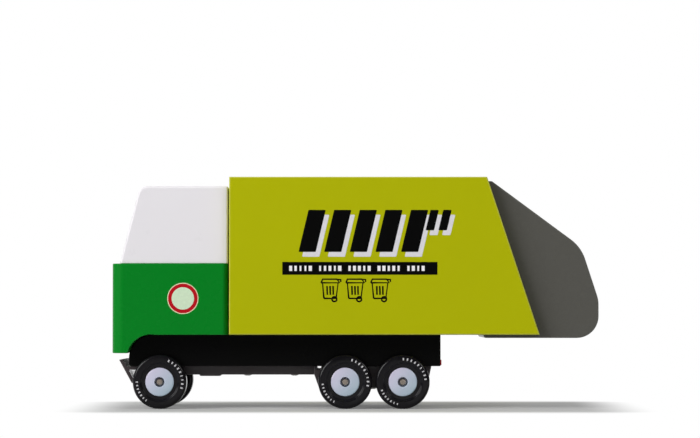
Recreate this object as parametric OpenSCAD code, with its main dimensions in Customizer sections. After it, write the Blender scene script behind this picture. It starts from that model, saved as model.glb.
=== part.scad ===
// Toy garbage truck: a cab-over rear loader of painted wood on six rubber-tyred wheels.
// Millimetres, +Z up, the cab faces -X and the truck's left side is -Y.
// The origin is on the floor, under the middle of the truck.

/* [Overall] */
// Length from the cab's front to the tailgate's rear
truck_length = 244; // [230:1:260]
// Height of the roof above the floor
truck_height = 116.1; // [108:0.1:126]
// Width over the side panels of the load body
body_width = 76; // [68:1:92]

/* [Chassis] */
// Width of the chassis block
chassis_width = 46; // [42:0.5:47]
// Distance of the chassis block's end ahead of the tailgate's rear
chassis_tail_inset = 79; // [68:0.5:84]
// Underside of the chassis block above the floor
chassis_bottom = 21.2; // [19:0.1:24]
// Thickness of the chassis block
chassis_thickness = 15.9; // [13:0.1:18]
// Distance of the chassis nose behind the cab's front
chassis_setback = 7.8; // [6:0.1:12]
// Radius of the chassis block's upper front corner, which the cab's arch fits
nose_radius = 12; // [8:0.5:12]
// Radius of the chassis block's lower front corner
nose_toe_radius = 1.5; // [0.5:0.1:3]

/* [Cab] */
// Length of the lower cab block
cab_length = 58.3; // [50:0.1:64]
// Width of the lower cab block
cab_width = 70; // [66:1:80]
// Height of the seam between the lower and the upper cab block
waist_height = 72.8; // [66:0.1:80]
// Lower edge of the chin in front of the chassis
chin_height = 27.9; // [25:0.1:31]
// Radius of the lower block's upright front corners
cab_front_radius = 6; // [3:0.5:8]
// Radius of the lower block's upright rear corners
cab_rear_radius = 3; // [1:0.5:5]
// Radius of the lower block's long edges
cab_edge_radius = 1.2; // [0.5:0.1:2]
// Height of the cab roof
cab_height = 111.6; // [100:0.1:118]
// Width of the upper cab block
upper_width = 68; // [60:1:78]
// Distance of the windscreen's foot behind the lower block's front
upper_setback = 4; // [2:0.1:7]
// Lean of the windscreen from upright, in degrees
windscreen_rake = 14.4; // [8:0.1:20]
// Radius of the brow above the windscreen
brow_radius = 4.8; // [3:0.1:8]
// Radius of the upper block's long edges
upper_edge_radius = 3; // [1.5:0.1:4]
// Radius of the upper block's rear roof edge
upper_rear_radius = 1.2; // [0.5:0.1:3]

/* [Load body] */
// Gap between the cab and the load body
cab_body_gap = 0.6; // [0.3:0.1:3]
// Forward lean of the side panels' rear edge, in degrees
rear_edge_lean = 18.3; // [12:0.1:22]
// Thickness of the side panels
side_thickness = 6; // [5:0.1:8]
// Thickness of the roof, floor and front wall
panel_thickness = 5; // [4:0.1:7]
// Radius of the panels' long outer edges
side_edge_radius = 1; // [0.4:0.1:2]

/* [Tailgate] */
// Length of the tailgate from its front edge to its rear
tailgate_length = 57.6; // [54:0.1:64]
// Height of the tailgate's top below the roof
tailgate_drop = 1.85; // [1.5:0.05:4]
// Distance of the tailgate's front edge ahead of the roof line's rear end
tailgate_lap = 1.5; // [0.5:0.1:4]
// Length of the flat at the tailgate's top
tailgate_flat = 4.2; // [3:0.1:8]
// Slope of the tailgate's upper face below level, in degrees
tailgate_slope = 36.5; // [32:0.1:40]
// Lean of the tailgate's rear face from upright, in degrees
tailgate_rake = 18; // [14:0.1:22]
// Height at which the rear face turns upright
belly_height = 54.6; // [50:0.1:60]
// Distance that the tailgate hangs below the load body's underside
tailgate_hang = 1.6; // [0.5:0.1:4]
// Radius of the bend between the upper and the rear face
bend_radius = 20; // [8:0.5:24]
// Radius between the rear face and the upright belly
belly_radius = 15; // [8:0.5:20]
// Radius of the tub's lower rear corner
tub_radius = 11; // [6:0.5:14]
// Radius of the tailgate's small corners
tip_radius = 1.2; // [0.5:0.1:2]
// Thickness of the tailgate's cheeks
cheek_thickness = 5; // [4:0.1:7]
// Thickness of the curved hood and tub
skin_thickness = 4; // [3:0.1:6]
// Lower edge of the loading mouth
mouth_bottom = 50.3; // [46:0.1:54]
// Upper edge of the loading mouth
mouth_top = 74.8; // [66:0.1:78]
// Height of the hinge below the tailgate's top
hinge_depth = 5.25; // [4.5:0.05:7]
// Diameter of the hinge rod
hinge_rod_diameter = 3; // [2:0.1:4]
// Wood left outside each end of the hinge rod
hinge_cover = 2; // [1.5:0.1:3]

/* [Wheels] */
// Diameter over the tyres
wheel_diameter = 27; // [24:0.1:28]
// Width of a tyre
tyre_width = 9; // [7:0.1:10]
// Distance between the middles of a left and a right tyre
track = 58; // [56:0.5:60]
// Distance of the front axle behind the cab's front
front_axle_setback = 24; // [22:0.1:28]
// Distance of the rear axle ahead of the tailgate's rear
rear_axle_setback = 98.25; // [95:0.05:104]
// Distance from the middle to the rear axle
bogie_spread = 28.85; // [28.6:0.05:32]
// Diameter of a hub where it carries the tyre
hub_diameter = 14; // [12:0.1:16]
// Diameter of the hollow around the axle's end
hub_recess_diameter = 4.9; // [4:0.1:6]
// Height of the domed hub face above the tyre seat's edge
hub_dome = 1; // [0.5:0.1:1.5]
// Diameter of the axles
axle_diameter = 3.2; // [2.5:0.1:4]
// Radius of the tyre's shoulders
shoulder_radius = 1.6; // [0.8:0.1:3]
// Depth of the step in the tyre's sidewall
sidewall_step = 0.9; // [0.5:0.1:1.2]
// Width of the flat ring between the hub and the sidewall's step
sidewall_ring = 2; // [1:0.1:2.4]

/* [Undercarriage] */
// Width of the axle carriers
carrier_width = 40; // [34:0.5:42]
// Length of the front axle carrier at its top
front_carrier_length = 17; // [13:0.5:20]
// Length by which the bogie carrier reaches ahead of the middle axle
bogie_reach_front = 15.6; // [14:0.1:18]
// Length by which the bogie carrier reaches behind the rear axle
bogie_reach_rear = 14.7; // [13:0.1:18]
// Wood and metal left under an axle's middle in its carrier
carrier_depth = 3.2; // [2.6:0.1:5]
// Inward slope of the carriers' ends, over their height
carrier_taper = 2.3; // [0:0.1:4]
// Length of the relief above the bogie carrier's front end
relief_length = 2.2; // [1:0.1:4]
// Height of the relief above the bogie carrier's front end
relief_height = 0.9; // [0.5:0.1:1.5]
// Metal left in front of the relief
relief_wall = 1.2; // [1:0.1:2]
// Width of the spine rail
rail_width = 30; // [16:0.5:38]
// Thickness of the spine rail
rail_thickness = 4.4; // [3:0.1:5]
// Distance of the lug under the spine rail behind the front axle
lug_offset = 18.5; // [12:0.5:40]
// Length of the lug
lug_length = 11.6; // [6:0.1:16]
// Width of the lug
lug_width = 22; // [12:0.5:28]
// Height of the lug below the rail
lug_height = 0.8; // [0.4:0.1:1.5]
// Width of the bent bumper plate
bumper_width = 44; // [30:0.5:46]
// Thickness of the bumper plate
bumper_thickness = 2; // [1.5:0.1:3]
// Top of the bumper plate above the floor
bumper_top = 24.5; // [22:0.1:26]
// Bottom of the bumper plate above the floor
bumper_bottom = 12.7; // [10:0.1:15]
// Distance of the bumper's top edge behind the cab's front
bumper_setback = 2.8; // [1:0.1:5]
// Lean of the bumper plate from upright, in degrees
bumper_lean = 28.5; // [15:0.5:32]

/* [Fits] */
// Radial clearance of a turning axle or rod in its bore
running_clearance = 0.05; // [0.02:0.01:0.1]
// Radial clearance of a pressed seat
seat_clearance = 0.02; // [0.01:0.01:0.05]
// Gap between a tailgate cheek and its side panel
cheek_gap = 0.5; // [0.3:0.1:1]
// Gap between the closed tailgate and the panels in front of it
stop_gap = 0.4; // [0.3:0.1:1]
// Gap between a hub's boss and the axle carrier
hub_end_play = 0.6; // [0.3:0.1:1]
// Radial clearance between the cab's arch and the chassis nose
arch_clearance = 0.15; // [0.1:0.05:0.5]

/* [Hidden] */

$fn = 96;
LEFT = -1;
RIGHT = 1;
// Longer than any piece, for the prisms that only round an edge
reach = 2 * truck_length;
// Lets a cut pass clean through a face
overcut = 1;
// A rounding arc is larger by this much, so that it crosses the edges it rounds
arc_margin = 0.002;

green = [0.02, 0.49, 0.13];
lime = [0.66, 0.67, 0.02];
off_white = [0.89, 0.88, 0.89];
dark_grey = [0.30, 0.30, 0.28];
black = [0.06, 0.06, 0.06];
brown_black = [0.18, 0.14, 0.16];
hub_grey = [0.73, 0.75, 0.80];
tyre_black = [0.09, 0.09, 0.10];
steel = [0.56, 0.52, 0.49];

chassis_top = chassis_bottom + chassis_thickness;
cab_front = -truck_length / 2;
cab_rear = cab_front + cab_length;
chassis_front = cab_front + chassis_setback;
chassis_rear = truck_length / 2 - chassis_tail_inset;
nose_centre = [chassis_front + nose_radius, chassis_top - nose_radius];

tailgate_rear = truck_length / 2;
tailgate_front = tailgate_rear - tailgate_length;
body_front = cab_rear + cab_body_gap;
roof_rear = tailgate_front + tailgate_lap;
inner_width = body_width - 2 * side_thickness;
body_floor_top = chassis_top + panel_thickness;
roof_underside = truck_height - panel_thickness;
side_foot_rear = roof_rear + (truck_height - chassis_top) * tan(rear_edge_lean);

tailgate_top = truck_height - tailgate_drop;
tailgate_bottom = chassis_top - tailgate_hang;
tailgate_width = inner_width - 2 * cheek_gap;
skin_width = tailgate_width - 2 * cheek_thickness;
hinge = [tailgate_front, tailgate_top - hinge_depth];
slope_start = [tailgate_front + tailgate_flat, tailgate_top];
slope_direction = [cos(tailgate_slope), -sin(tailgate_slope)];
belly_corner = [tailgate_rear, belly_height];
rake_direction = [-sin(tailgate_rake), cos(tailgate_rake)];
bend_corner = line_cross(slope_start, slope_direction, belly_corner, rake_direction);

axle_radius = axle_diameter / 2;
axle_height = wheel_diameter / 2;
front_axle_x = cab_front + front_axle_setback;
rear_axle_x = tailgate_rear - rear_axle_setback;
middle_axle_x = rear_axle_x - bogie_spread;
hub_radius = hub_diameter / 2;
hub_edge = tyre_width / 2 - sidewall_step;
hub_boss_end = -(track / 2 - carrier_width / 2 - hub_end_play);
hub_boss_radius = hub_recess_diameter;
axle_half_length = track / 2 + hub_edge + hub_dome / 2;
carrier_bottom = axle_height - carrier_depth;
rail_front = front_axle_x + front_carrier_length / 2;
rail_rear = middle_axle_x - bogie_reach_front;

// ---- Geometry helpers ----

function unit(v) = v / norm(v);

// Point where the line from p along d meets the line from q along e
function line_cross(p, d, q, e) =
    p + d * ((q - p)[0] * e[1] - (q - p)[1] * e[0]) / (d[0] * e[1] - d[1] * e[0]);

// Centre of the arc of radius r that rounds corner b between a and c
function arc_centre(a, b, c, r) =
    let (u = unit(a - b), v = unit(c - b))
    b + unit(u + v) * r / sqrt((1 - u * v) / 2);

// Point where the arc around centre touches the edge from b to a
function touch_point(a, b, centre) = b + unit(a - b) * ((centre - b) * unit(a - b));

// Neighbours of corner i in a closed list of points
function before(points, i) = points[(i + len(points) - 1) % len(points)];
function after(points, i) = points[(i + 1) % len(points)];

function corner_centre(points, radii, i) =
    arc_centre(before(points, i), points[i], after(points, i), radii[i]);

// Normal to the edge from a to b, into a shape whose corners run anticlockwise
function inward(a, b) = let (u = unit(b - a)) [-u[1], u[0]];

// Corners of a convex outline moved inward by t
function inset(points, t) = [
    for (i = [0 : len(points) - 1])
        let (m = inward(before(points, i), points[i]), n = inward(points[i], after(points, i)))
        points[i] + (m + n) * t / (1 + m * n)
];

// What lies outside the rounding arc at corner i, drawn past the outline so that only the arc cuts it
module corner_waste(points, radii, i) {
    centre = corner_centre(points, radii, i);
    first = touch_point(before(points, i), points[i], centre);
    last = touch_point(after(points, i), points[i], centre);
    difference() {
        polygon([centre, 2 * first - centre, 3 * points[i] - 2 * centre, 2 * last - centre]);
        translate(centre) circle(radii[i] + arc_margin);
    }
}

// Convex outline with each corner rounded by a true arc; a radius of 0 leaves it sharp
module rounded_outline(points, radii) {
    difference() {
        polygon(points);
        for (i = [0 : len(points) - 1])
            if (radii[i] > 0)
                corner_waste(points, radii, i);
    }
}

// Rectangle whose corner radii run anticlockwise from the lower left
module rounded_box(x0, x1, y0, y1, radii) {
    rounded_outline([[x0, y0], [x1, y0], [x1, y1], [x0, y1]], radii);
}

// Side outline in X and Z, spread over a width about the middle
module across(width) {
    rotate([90, 0, 0]) linear_extrude(width, center = true) children();
}

// Side outline in X and Z, from y0 to y1
module between_y(y0, y1) {
    translate([0, y1, 0]) rotate([90, 0, 0]) linear_extrude(y1 - y0) children();
}

// End outline in Y and Z, run along the whole truck
module lengthwise() {
    rotate([90, 0, 90]) linear_extrude(reach, center = true) children();
}

// Plan outline in X and Y, run upright through point [x, z] and leaned about Y
module leaning(point, lean) {
    translate([point[0], 0, point[1]]) rotate([0, lean, 0])
        linear_extrude(reach, center = true) children();
}

// A piece drawn on the right-hand side, or its mirror image on the left
module on_side(side) {
    if (side == RIGHT)
        children();
    else
        mirror([0, 1, 0]) children();
}

// A bore across the truck through point [x, z]
module cross_bore(point, radius) {
    translate([point[0], 0, point[1]]) rotate([90, 0, 0])
        cylinder(r = radius, h = reach, center = true);
}

// ---- Chassis and cab ----

module chassis_block() {
    color(black) across(chassis_width)
        rounded_box(chassis_front, chassis_rear, chassis_bottom, chassis_top,
                    [nose_toe_radius, 0, 0, nose_radius]);
}

// Side outline of the lower block, with the chin ahead of the chassis and the arch over its nose
module cab_lower_outline() {
    difference() {
        rounded_box(cab_front, cab_rear, chin_height, waist_height,
                    [cab_edge_radius, 0, cab_edge_radius, cab_edge_radius]);
        translate([nose_centre[0], chin_height - overcut])
            square([reach, chassis_top - chin_height + overcut]);
        translate(nose_centre) circle(nose_radius + arch_clearance);
        translate([chassis_front - arch_clearance, chin_height - overcut])
            square([nose_radius, nose_centre[1] - chin_height + overcut]);
    }
}

module cab_lower_block() {
    half = cab_width / 2;
    color(green) intersection() {
        across(cab_width) cab_lower_outline();
        leaning([0, 0], 0)
            rounded_box(cab_front, cab_rear, -half, half,
                        [cab_front_radius, cab_rear_radius, cab_rear_radius, cab_front_radius]);
        lengthwise()
            rounded_box(-half, half, chin_height, waist_height,
                        [0, 0, cab_edge_radius, cab_edge_radius]);
    }
}

module cab_upper_block() {
    half = upper_width / 2;
    foot = [cab_front + upper_setback, waist_height];
    brow_x = foot[0] + (cab_height - waist_height) * tan(windscreen_rake);
    edge = upper_edge_radius;
    color(off_white) intersection() {
        across(upper_width)
            rounded_outline([foot, [cab_rear, waist_height], [cab_rear, cab_height], [brow_x, cab_height]],
                            [0, 0, upper_rear_radius, brow_radius]);
        leaning(foot, windscreen_rake)
            rounded_box(0, reach, -half, half, [edge, 0, 0, edge]);
        leaning([cab_rear, 0], 0)
            rounded_box(-reach, 0, -half, half, [0, edge, edge, 0]);
        lengthwise()
            rounded_box(-half, half, waist_height, cab_height, [0, 0, edge, edge]);
    }
}

// ---- Load body ----

module body_side(side) {
    outer = body_width / 2;
    inner = inner_width / 2;
    color(lime) on_side(side) difference() {
        intersection() {
            between_y(inner, outer)
                polygon([[body_front, chassis_top], [side_foot_rear, chassis_top],
                         [roof_rear, truck_height], [body_front, truck_height]]);
            lengthwise()
                rounded_box(inner, outer, chassis_top, truck_height,
                            [0, side_edge_radius, side_edge_radius, 0]);
        }
        hinge_socket();
    }
}

// Blind hole that holds one end of the hinge rod
module hinge_socket() {
    depth = side_thickness - hinge_cover;
    translate([hinge[0], inner_width / 2 + depth, hinge[1]]) rotate([90, 0, 0])
        cylinder(r = hinge_rod_diameter / 2 + seat_clearance, h = depth + overcut);
}

module body_roof() {
    roof_end = hinge[0] - hinge_depth - stop_gap;
    color(lime) across(inner_width)
        rounded_box(body_front, roof_end, roof_underside, truck_height,
                    [0, 0, side_edge_radius, side_edge_radius]);
}

module body_floor() {
    color(lime) across(inner_width)
        rounded_box(body_front, tailgate_front - stop_gap, chassis_top, body_floor_top,
                    [side_edge_radius, 0, 0, 0]);
}

module body_front_wall() {
    color(lime) across(inner_width)
        rounded_box(body_front, body_front + panel_thickness, body_floor_top, roof_underside,
                    [0, 0, 0, 0]);
}

// ---- Tailgate ----

// Corners of the tailgate's side outline with its front edge at x = front
function tailgate_corners(front) = [
    [front, tailgate_bottom],
    [tailgate_rear, tailgate_bottom],
    belly_corner,
    bend_corner,
    slope_start,
    [front, tailgate_top]
];

module tailgate_outline() {
    rounded_outline(tailgate_corners(tailgate_front),
                    [tip_radius, tub_radius, belly_radius, bend_radius, tip_radius, 0]);
    translate(hinge) circle(hinge_depth);
}

// Side outline of the hollow between the cheeks, open towards the load space
module tailgate_hollow() {
    rounded_outline(inset(tailgate_corners(tailgate_front - 2 * hinge_depth), skin_thickness),
                    [0, tub_radius - skin_thickness, belly_radius - skin_thickness,
                     bend_radius - skin_thickness, 0, 0]);
}

module tailgate_shell_outline() {
    difference() {
        tailgate_outline();
        tailgate_hollow();
    }
}

module tailgate_cheek(side) {
    outer = tailgate_width / 2;
    color(dark_grey) on_side(side) difference() {
        between_y(outer - cheek_thickness, outer) tailgate_outline();
        cross_bore(hinge, hinge_rod_diameter / 2 + running_clearance);
    }
}

// Upper part of the shell with the hinge barrel, down to the loading mouth
module tailgate_hood() {
    color(dark_grey) difference() {
        across(skin_width) {
            intersection() {
                tailgate_shell_outline();
                translate([hinge[0], mouth_top]) square(reach);
            }
            translate(hinge) circle(hinge_depth);
        }
        cross_bore(hinge, hinge_rod_diameter / 2 + running_clearance);
    }
}

// Lower part of the shell, from the body floor round to the mouth's sill
module tailgate_tub() {
    color(dark_grey) across(skin_width) intersection() {
        tailgate_shell_outline();
        translate([tailgate_front, tailgate_bottom]) square([reach, mouth_bottom - tailgate_bottom]);
    }
}

module tailgate_hinge_rod() {
    color(steel) translate([hinge[0], 0, hinge[1]]) rotate([90, 0, 0])
        cylinder(r = hinge_rod_diameter / 2, h = body_width - 2 * hinge_cover - 2 * seat_clearance,
                 center = true);
}

// ---- Undercarriage ----

module front_axle_carrier() {
    half = front_carrier_length / 2;
    color(brown_black) difference() {
        across(carrier_width)
            polygon([[front_axle_x - half, chassis_bottom],
                     [front_axle_x - half + carrier_taper, carrier_bottom],
                     [front_axle_x + half - carrier_taper, carrier_bottom],
                     [front_axle_x + half, chassis_bottom]]);
        cross_bore([front_axle_x, axle_height], axle_radius + running_clearance);
    }
}

module bogie_carrier() {
    front = rail_rear;
    rear = rear_axle_x + bogie_reach_rear;
    heel = chassis_bottom - rail_thickness;
    color(brown_black) difference() {
        across(carrier_width)
            polygon([[front, chassis_bottom], [front, heel], [front + carrier_taper, carrier_bottom],
                     [rear - carrier_taper, carrier_bottom], [rear, chassis_bottom]]);
        cross_bore([middle_axle_x, axle_height], axle_radius + running_clearance);
        cross_bore([rear_axle_x, axle_height], axle_radius + running_clearance);
        across(reach) translate([front + relief_wall, chassis_bottom - relief_height])
            square([relief_length, relief_height + overcut]);
    }
}

module spine_rail() {
    rail_bottom = chassis_bottom - rail_thickness;
    lug_front = front_axle_x + lug_offset;
    color(brown_black) {
        across(rail_width)
            polygon([[rail_front, rail_bottom], [rail_rear, rail_bottom],
                     [rail_rear, chassis_bottom], [rail_front, chassis_bottom]]);
        across(lug_width)
            polygon([[lug_front, rail_bottom], [lug_front + lug_height, rail_bottom - lug_height],
                     [lug_front + lug_length - lug_height, rail_bottom - lug_height],
                     [lug_front + lug_length, rail_bottom]]);
    }
}

module front_bumper_plate() {
    top = [cab_front + bumper_setback, bumper_top];
    run = tan(bumper_lean);
    thickness_x = bumper_thickness / cos(bumper_lean);
    foot_x = top[0] + (bumper_top - bumper_bottom) * run;
    flange_bottom = chassis_bottom - bumper_thickness;
    flange_x = top[0] + (bumper_top - flange_bottom) * run;
    flange_end = front_axle_x - front_carrier_length / 2;
    color(brown_black) across(bumper_width) {
        polygon([top, [foot_x, bumper_bottom], [foot_x + thickness_x, bumper_bottom],
                 [top[0] + thickness_x, bumper_top]]);
        translate([flange_x, flange_bottom]) square([flange_end - flange_x, bumper_thickness]);
    }
}

// ---- Wheels ----

// Places a part whose own axis is +Z outward at one end of an axle
module at_wheel(axle_x, side) {
    translate([axle_x, side * track / 2, axle_height]) rotate([-90 * side, 0, 0]) children();
}

module axle(axle_x) {
    color(steel) translate([axle_x, 0, axle_height]) rotate([90, 0, 0])
        cylinder(r = axle_radius, h = 2 * axle_half_length, center = true);
}

// Hub section: boss towards the carrier, tyre seat, domed face with a hollow round the axle
module hub_section() {
    bore = axle_radius + seat_clearance;
    recess = hub_recess_diameter / 2;
    dome_radius = (hub_radius * hub_radius + hub_dome * hub_dome) / (2 * hub_dome);
    difference() {
        union() {
            translate([bore, hub_boss_end]) square([hub_boss_radius - bore, -hub_boss_end]);
            translate([bore, -hub_edge]) square([hub_radius - bore, 2 * hub_edge]);
            intersection() {
                translate([0, hub_edge + hub_dome - dome_radius]) circle(dome_radius, $fn = 360);
                translate([bore, 0]) square([hub_radius - bore, hub_edge + 2 * hub_dome]);
            }
        }
        translate([0, hub_edge - hub_dome]) square([recess, reach]);
    }
}

module hub(axle_x, side) {
    color(hub_grey) at_wheel(axle_x, side) rotate_extrude() hub_section();
}

// Tyre section: square-shouldered tread and a step down to the ring round the hub
module tyre_section() {
    seat = hub_radius + seat_clearance;
    half = tyre_width / 2;
    step = hub_radius + sidewall_ring;
    difference() {
        rounded_box(seat, axle_height, -half, half, [0, shoulder_radius, shoulder_radius, 0]);
        for (end = [-1, 1])
            polygon([[0, end * hub_edge], [step, end * hub_edge],
                     [step + sidewall_step, end * half], [step + sidewall_step, end * (half + overcut)],
                     [0, end * (half + overcut)]]);
    }
}

module tyre(axle_x, side) {
    color(tyre_black) at_wheel(axle_x, side) rotate_extrude() tyre_section();
}

chassis_block();
cab_lower_block();
cab_upper_block();
body_side(LEFT);  // body_side_left
body_side(RIGHT);  // body_side_right
body_roof();
body_floor();
body_front_wall();
front_axle_carrier();
bogie_carrier();
spine_rail();
front_bumper_plate();
tailgate_hinge_rod();
tailgate_cheek(LEFT);  // tailgate_cheek_left
tailgate_cheek(RIGHT);  // tailgate_cheek_right
tailgate_hood();
tailgate_tub();
axle(front_axle_x);  // front_axle
hub(front_axle_x, LEFT);  // front_hub_left
hub(front_axle_x, RIGHT);  // front_hub_right
tyre(front_axle_x, LEFT);  // front_tyre_left
tyre(front_axle_x, RIGHT);  // front_tyre_right
axle(middle_axle_x);  // middle_axle
hub(middle_axle_x, LEFT);  // middle_hub_left
hub(middle_axle_x, RIGHT);  // middle_hub_right
tyre(middle_axle_x, LEFT);  // middle_tyre_left
tyre(middle_axle_x, RIGHT);  // middle_tyre_right
axle(rear_axle_x);  // rear_axle
hub(rear_axle_x, LEFT);  // rear_hub_left
hub(rear_axle_x, RIGHT);  // rear_hub_right
tyre(rear_axle_x, LEFT);  // rear_tyre_left
tyre(rear_axle_x, RIGHT);  // rear_tyre_right
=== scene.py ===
"""Looks of a painted wooden toy garbage truck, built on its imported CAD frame.

The cab faces -X, the truck's left side is -Y and +Z is up. Shapes are drawn in millimetres in the truck's
own frame, and Solid and Pattern turn them to metres when a piece is finished.
"""
import logging
import math
from collections.abc import Callable, Iterable, Sequence
from dataclasses import dataclass, field
from enum import Enum
from typing import Any

import bmesh
import bpy
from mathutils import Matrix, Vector


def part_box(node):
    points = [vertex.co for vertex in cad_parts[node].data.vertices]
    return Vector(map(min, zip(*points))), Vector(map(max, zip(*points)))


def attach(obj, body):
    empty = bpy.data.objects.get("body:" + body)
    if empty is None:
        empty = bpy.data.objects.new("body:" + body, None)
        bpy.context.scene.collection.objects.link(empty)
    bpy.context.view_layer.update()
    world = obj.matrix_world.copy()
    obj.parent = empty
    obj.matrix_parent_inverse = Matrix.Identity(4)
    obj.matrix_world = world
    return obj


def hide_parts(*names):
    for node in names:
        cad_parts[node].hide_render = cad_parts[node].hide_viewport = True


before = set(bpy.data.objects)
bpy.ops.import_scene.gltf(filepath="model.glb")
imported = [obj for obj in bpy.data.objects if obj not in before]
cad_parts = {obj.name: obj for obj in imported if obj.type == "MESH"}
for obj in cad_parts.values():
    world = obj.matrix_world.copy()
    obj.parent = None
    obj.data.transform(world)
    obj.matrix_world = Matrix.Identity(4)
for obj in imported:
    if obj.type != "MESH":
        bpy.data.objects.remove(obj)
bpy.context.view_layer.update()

LOG = logging.getLogger("garbage_truck")

MM = 0.001
SMOOTH_ANGLE = math.radians(32)
SHARP_ANGLE = math.radians(40)
# Nearly all of a noise lies between these values
NOISE_LOW, NOISE_HIGH = 0.3, 0.7
# Points of a mesh that are closer than this are at the same place, in millimetres
CLOSE = 0.01
MERGE = 0.0005
# How far a print starts inside the paint
INK_ROOT = 0.02

Point = tuple[float, float]
Corner = tuple[float, float, float]
Place = tuple[float, float, float]
Colour = tuple[float, float, float, float]
Socket = bpy.types.NodeSocket


class Body(Enum):
    """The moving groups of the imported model."""

    TRUCK = "truck"
    TAILGATE = "tailgate"
    FRONT_WHEELSET = "front_wheelset"
    MIDDLE_WHEELSET = "middle_wheelset"
    REAR_WHEELSET = "rear_wheelset"


class Slot(Enum):
    """The record's material slots."""

    GREEN = "green_paint"
    WHITE = "white_paint"
    LIME = "lime_paint"
    GREY = "grey_paint"
    BLACK = "black_paint"
    DARK_STEEL = "dark_steel"
    BARE_STEEL = "bare_steel"
    HUB = "hub_plastic"
    TYRE = "tyre_rubber"


class Side(Enum):
    """A side of the truck, as the sign of its Y."""

    LEFT = -1
    RIGHT = 1

    @property
    def word(self) -> str:
        """Return the side's name as the CAD nodes write it."""
        return self.name.lower()


# ---- Node trees ----


def linear(code: str) -> Colour:
    """Turn an sRGB colour into the linear colour that a shader takes.

    Args:
        code: The colour as "#rrggbb".

    Returns:
        Linear red, green, blue and an alpha of 1.
    """
    parts = [int(code[i : i + 2], 16) / 255 for i in (1, 3, 5)]
    red, green, blue = (p / 12.92 if p <= 0.04045 else ((p + 0.055) / 1.055) ** 2.4 for p in parts)
    return (red, green, blue, 1.0)


def shade(colour: str, factor: float) -> Colour:
    """Return an sRGB colour in linear form, made lighter or darker by a factor."""
    red, green, blue, alpha = linear(colour)
    return (red * factor, green * factor, blue * factor, alpha)


class Graph:
    """A node tree with short ways to add nodes, whose inputs take a value or another node's output."""

    def __init__(self, tree: bpy.types.NodeTree) -> None:
        """Start from a tree."""
        self.tree = tree

    def feed(self, node: bpy.types.Node, key: str | int, value: Any) -> None:
        """Give one input of a node its value or its link.

        Args:
            node: The node.
            key: The input's name or number.
            value: A value, or an output socket that feeds the input.
        """
        if isinstance(value, Socket):
            self.tree.links.new(value, node.inputs[key])
        else:
            node.inputs[key].default_value = value

    def add(
        self, kind: str, inputs: dict[str, Any] | dict[int, Any] | None = None, **settings: Any
    ) -> bpy.types.Node:
        """Add one node.

        Args:
            kind: The node's type name.
            inputs: What its inputs take, by name or number.
            **settings: The node's own properties.

        Returns:
            The new node.
        """
        node = self.tree.nodes.new(kind)
        for key, value in settings.items():
            setattr(node, key, value)
        for key, value in (inputs or {}).items():
            self.feed(node, key, value)
        return node

    def math(self, operation: str, first: Any, second: Any) -> Socket:
        """Return the result of an operation on two numbers."""
        return self.add("ShaderNodeMath", {0: first, 1: second}, operation=operation).outputs[0]

    def vector(self, x: Any = 0.0, y: Any = 0.0, z: Any = 0.0) -> Socket:
        """Return a vector of three numbers."""
        return self.add("ShaderNodeCombineXYZ", {0: x, 1: y, 2: z}).outputs[0]

    def vector_math(self, operation: str, *vectors: Any) -> bpy.types.Node:
        """Return a node that works on one or two vectors."""
        return self.add("ShaderNodeVectorMath", dict(enumerate(vectors)), operation=operation)

    def spread(
        self,
        value: Socket,
        low: float,
        high: float,
        start: float = NOISE_LOW,
        end: float = NOISE_HIGH,
        curve: str = "LINEAR",
    ) -> Socket:
        """Spread part of a value's range, such as the middle of a noise, over another range.

        Args:
            value: The value.
            low: Result at the part's start.
            high: Result at its end.
            start: Where the part starts.
            end: Where it ends.
            curve: How the result runs between them.

        Returns:
            The spread value.
        """
        inputs = {"Value": value, "From Min": start, "From Max": end, "To Min": low, "To Max": high}
        return self.add("ShaderNodeMapRange", inputs, interpolation_type=curve).outputs["Result"]

    def blend(self, amount: Socket, first: Any, second: Any) -> Socket:
        """Mix two colours, from 0 for the first to 1 for the second."""
        return self.add("ShaderNodeMix", {0: amount, 6: first, 7: second}, data_type="RGBA").outputs[2]

    def choose(self, amount: Socket, first: Any, second: Any) -> Socket:
        """Mix two numbers, from 0 for the first to 1 for the second."""
        return self.add("ShaderNodeMix", {0: amount, 2: first, 3: second}, data_type="FLOAT").outputs[0]


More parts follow.
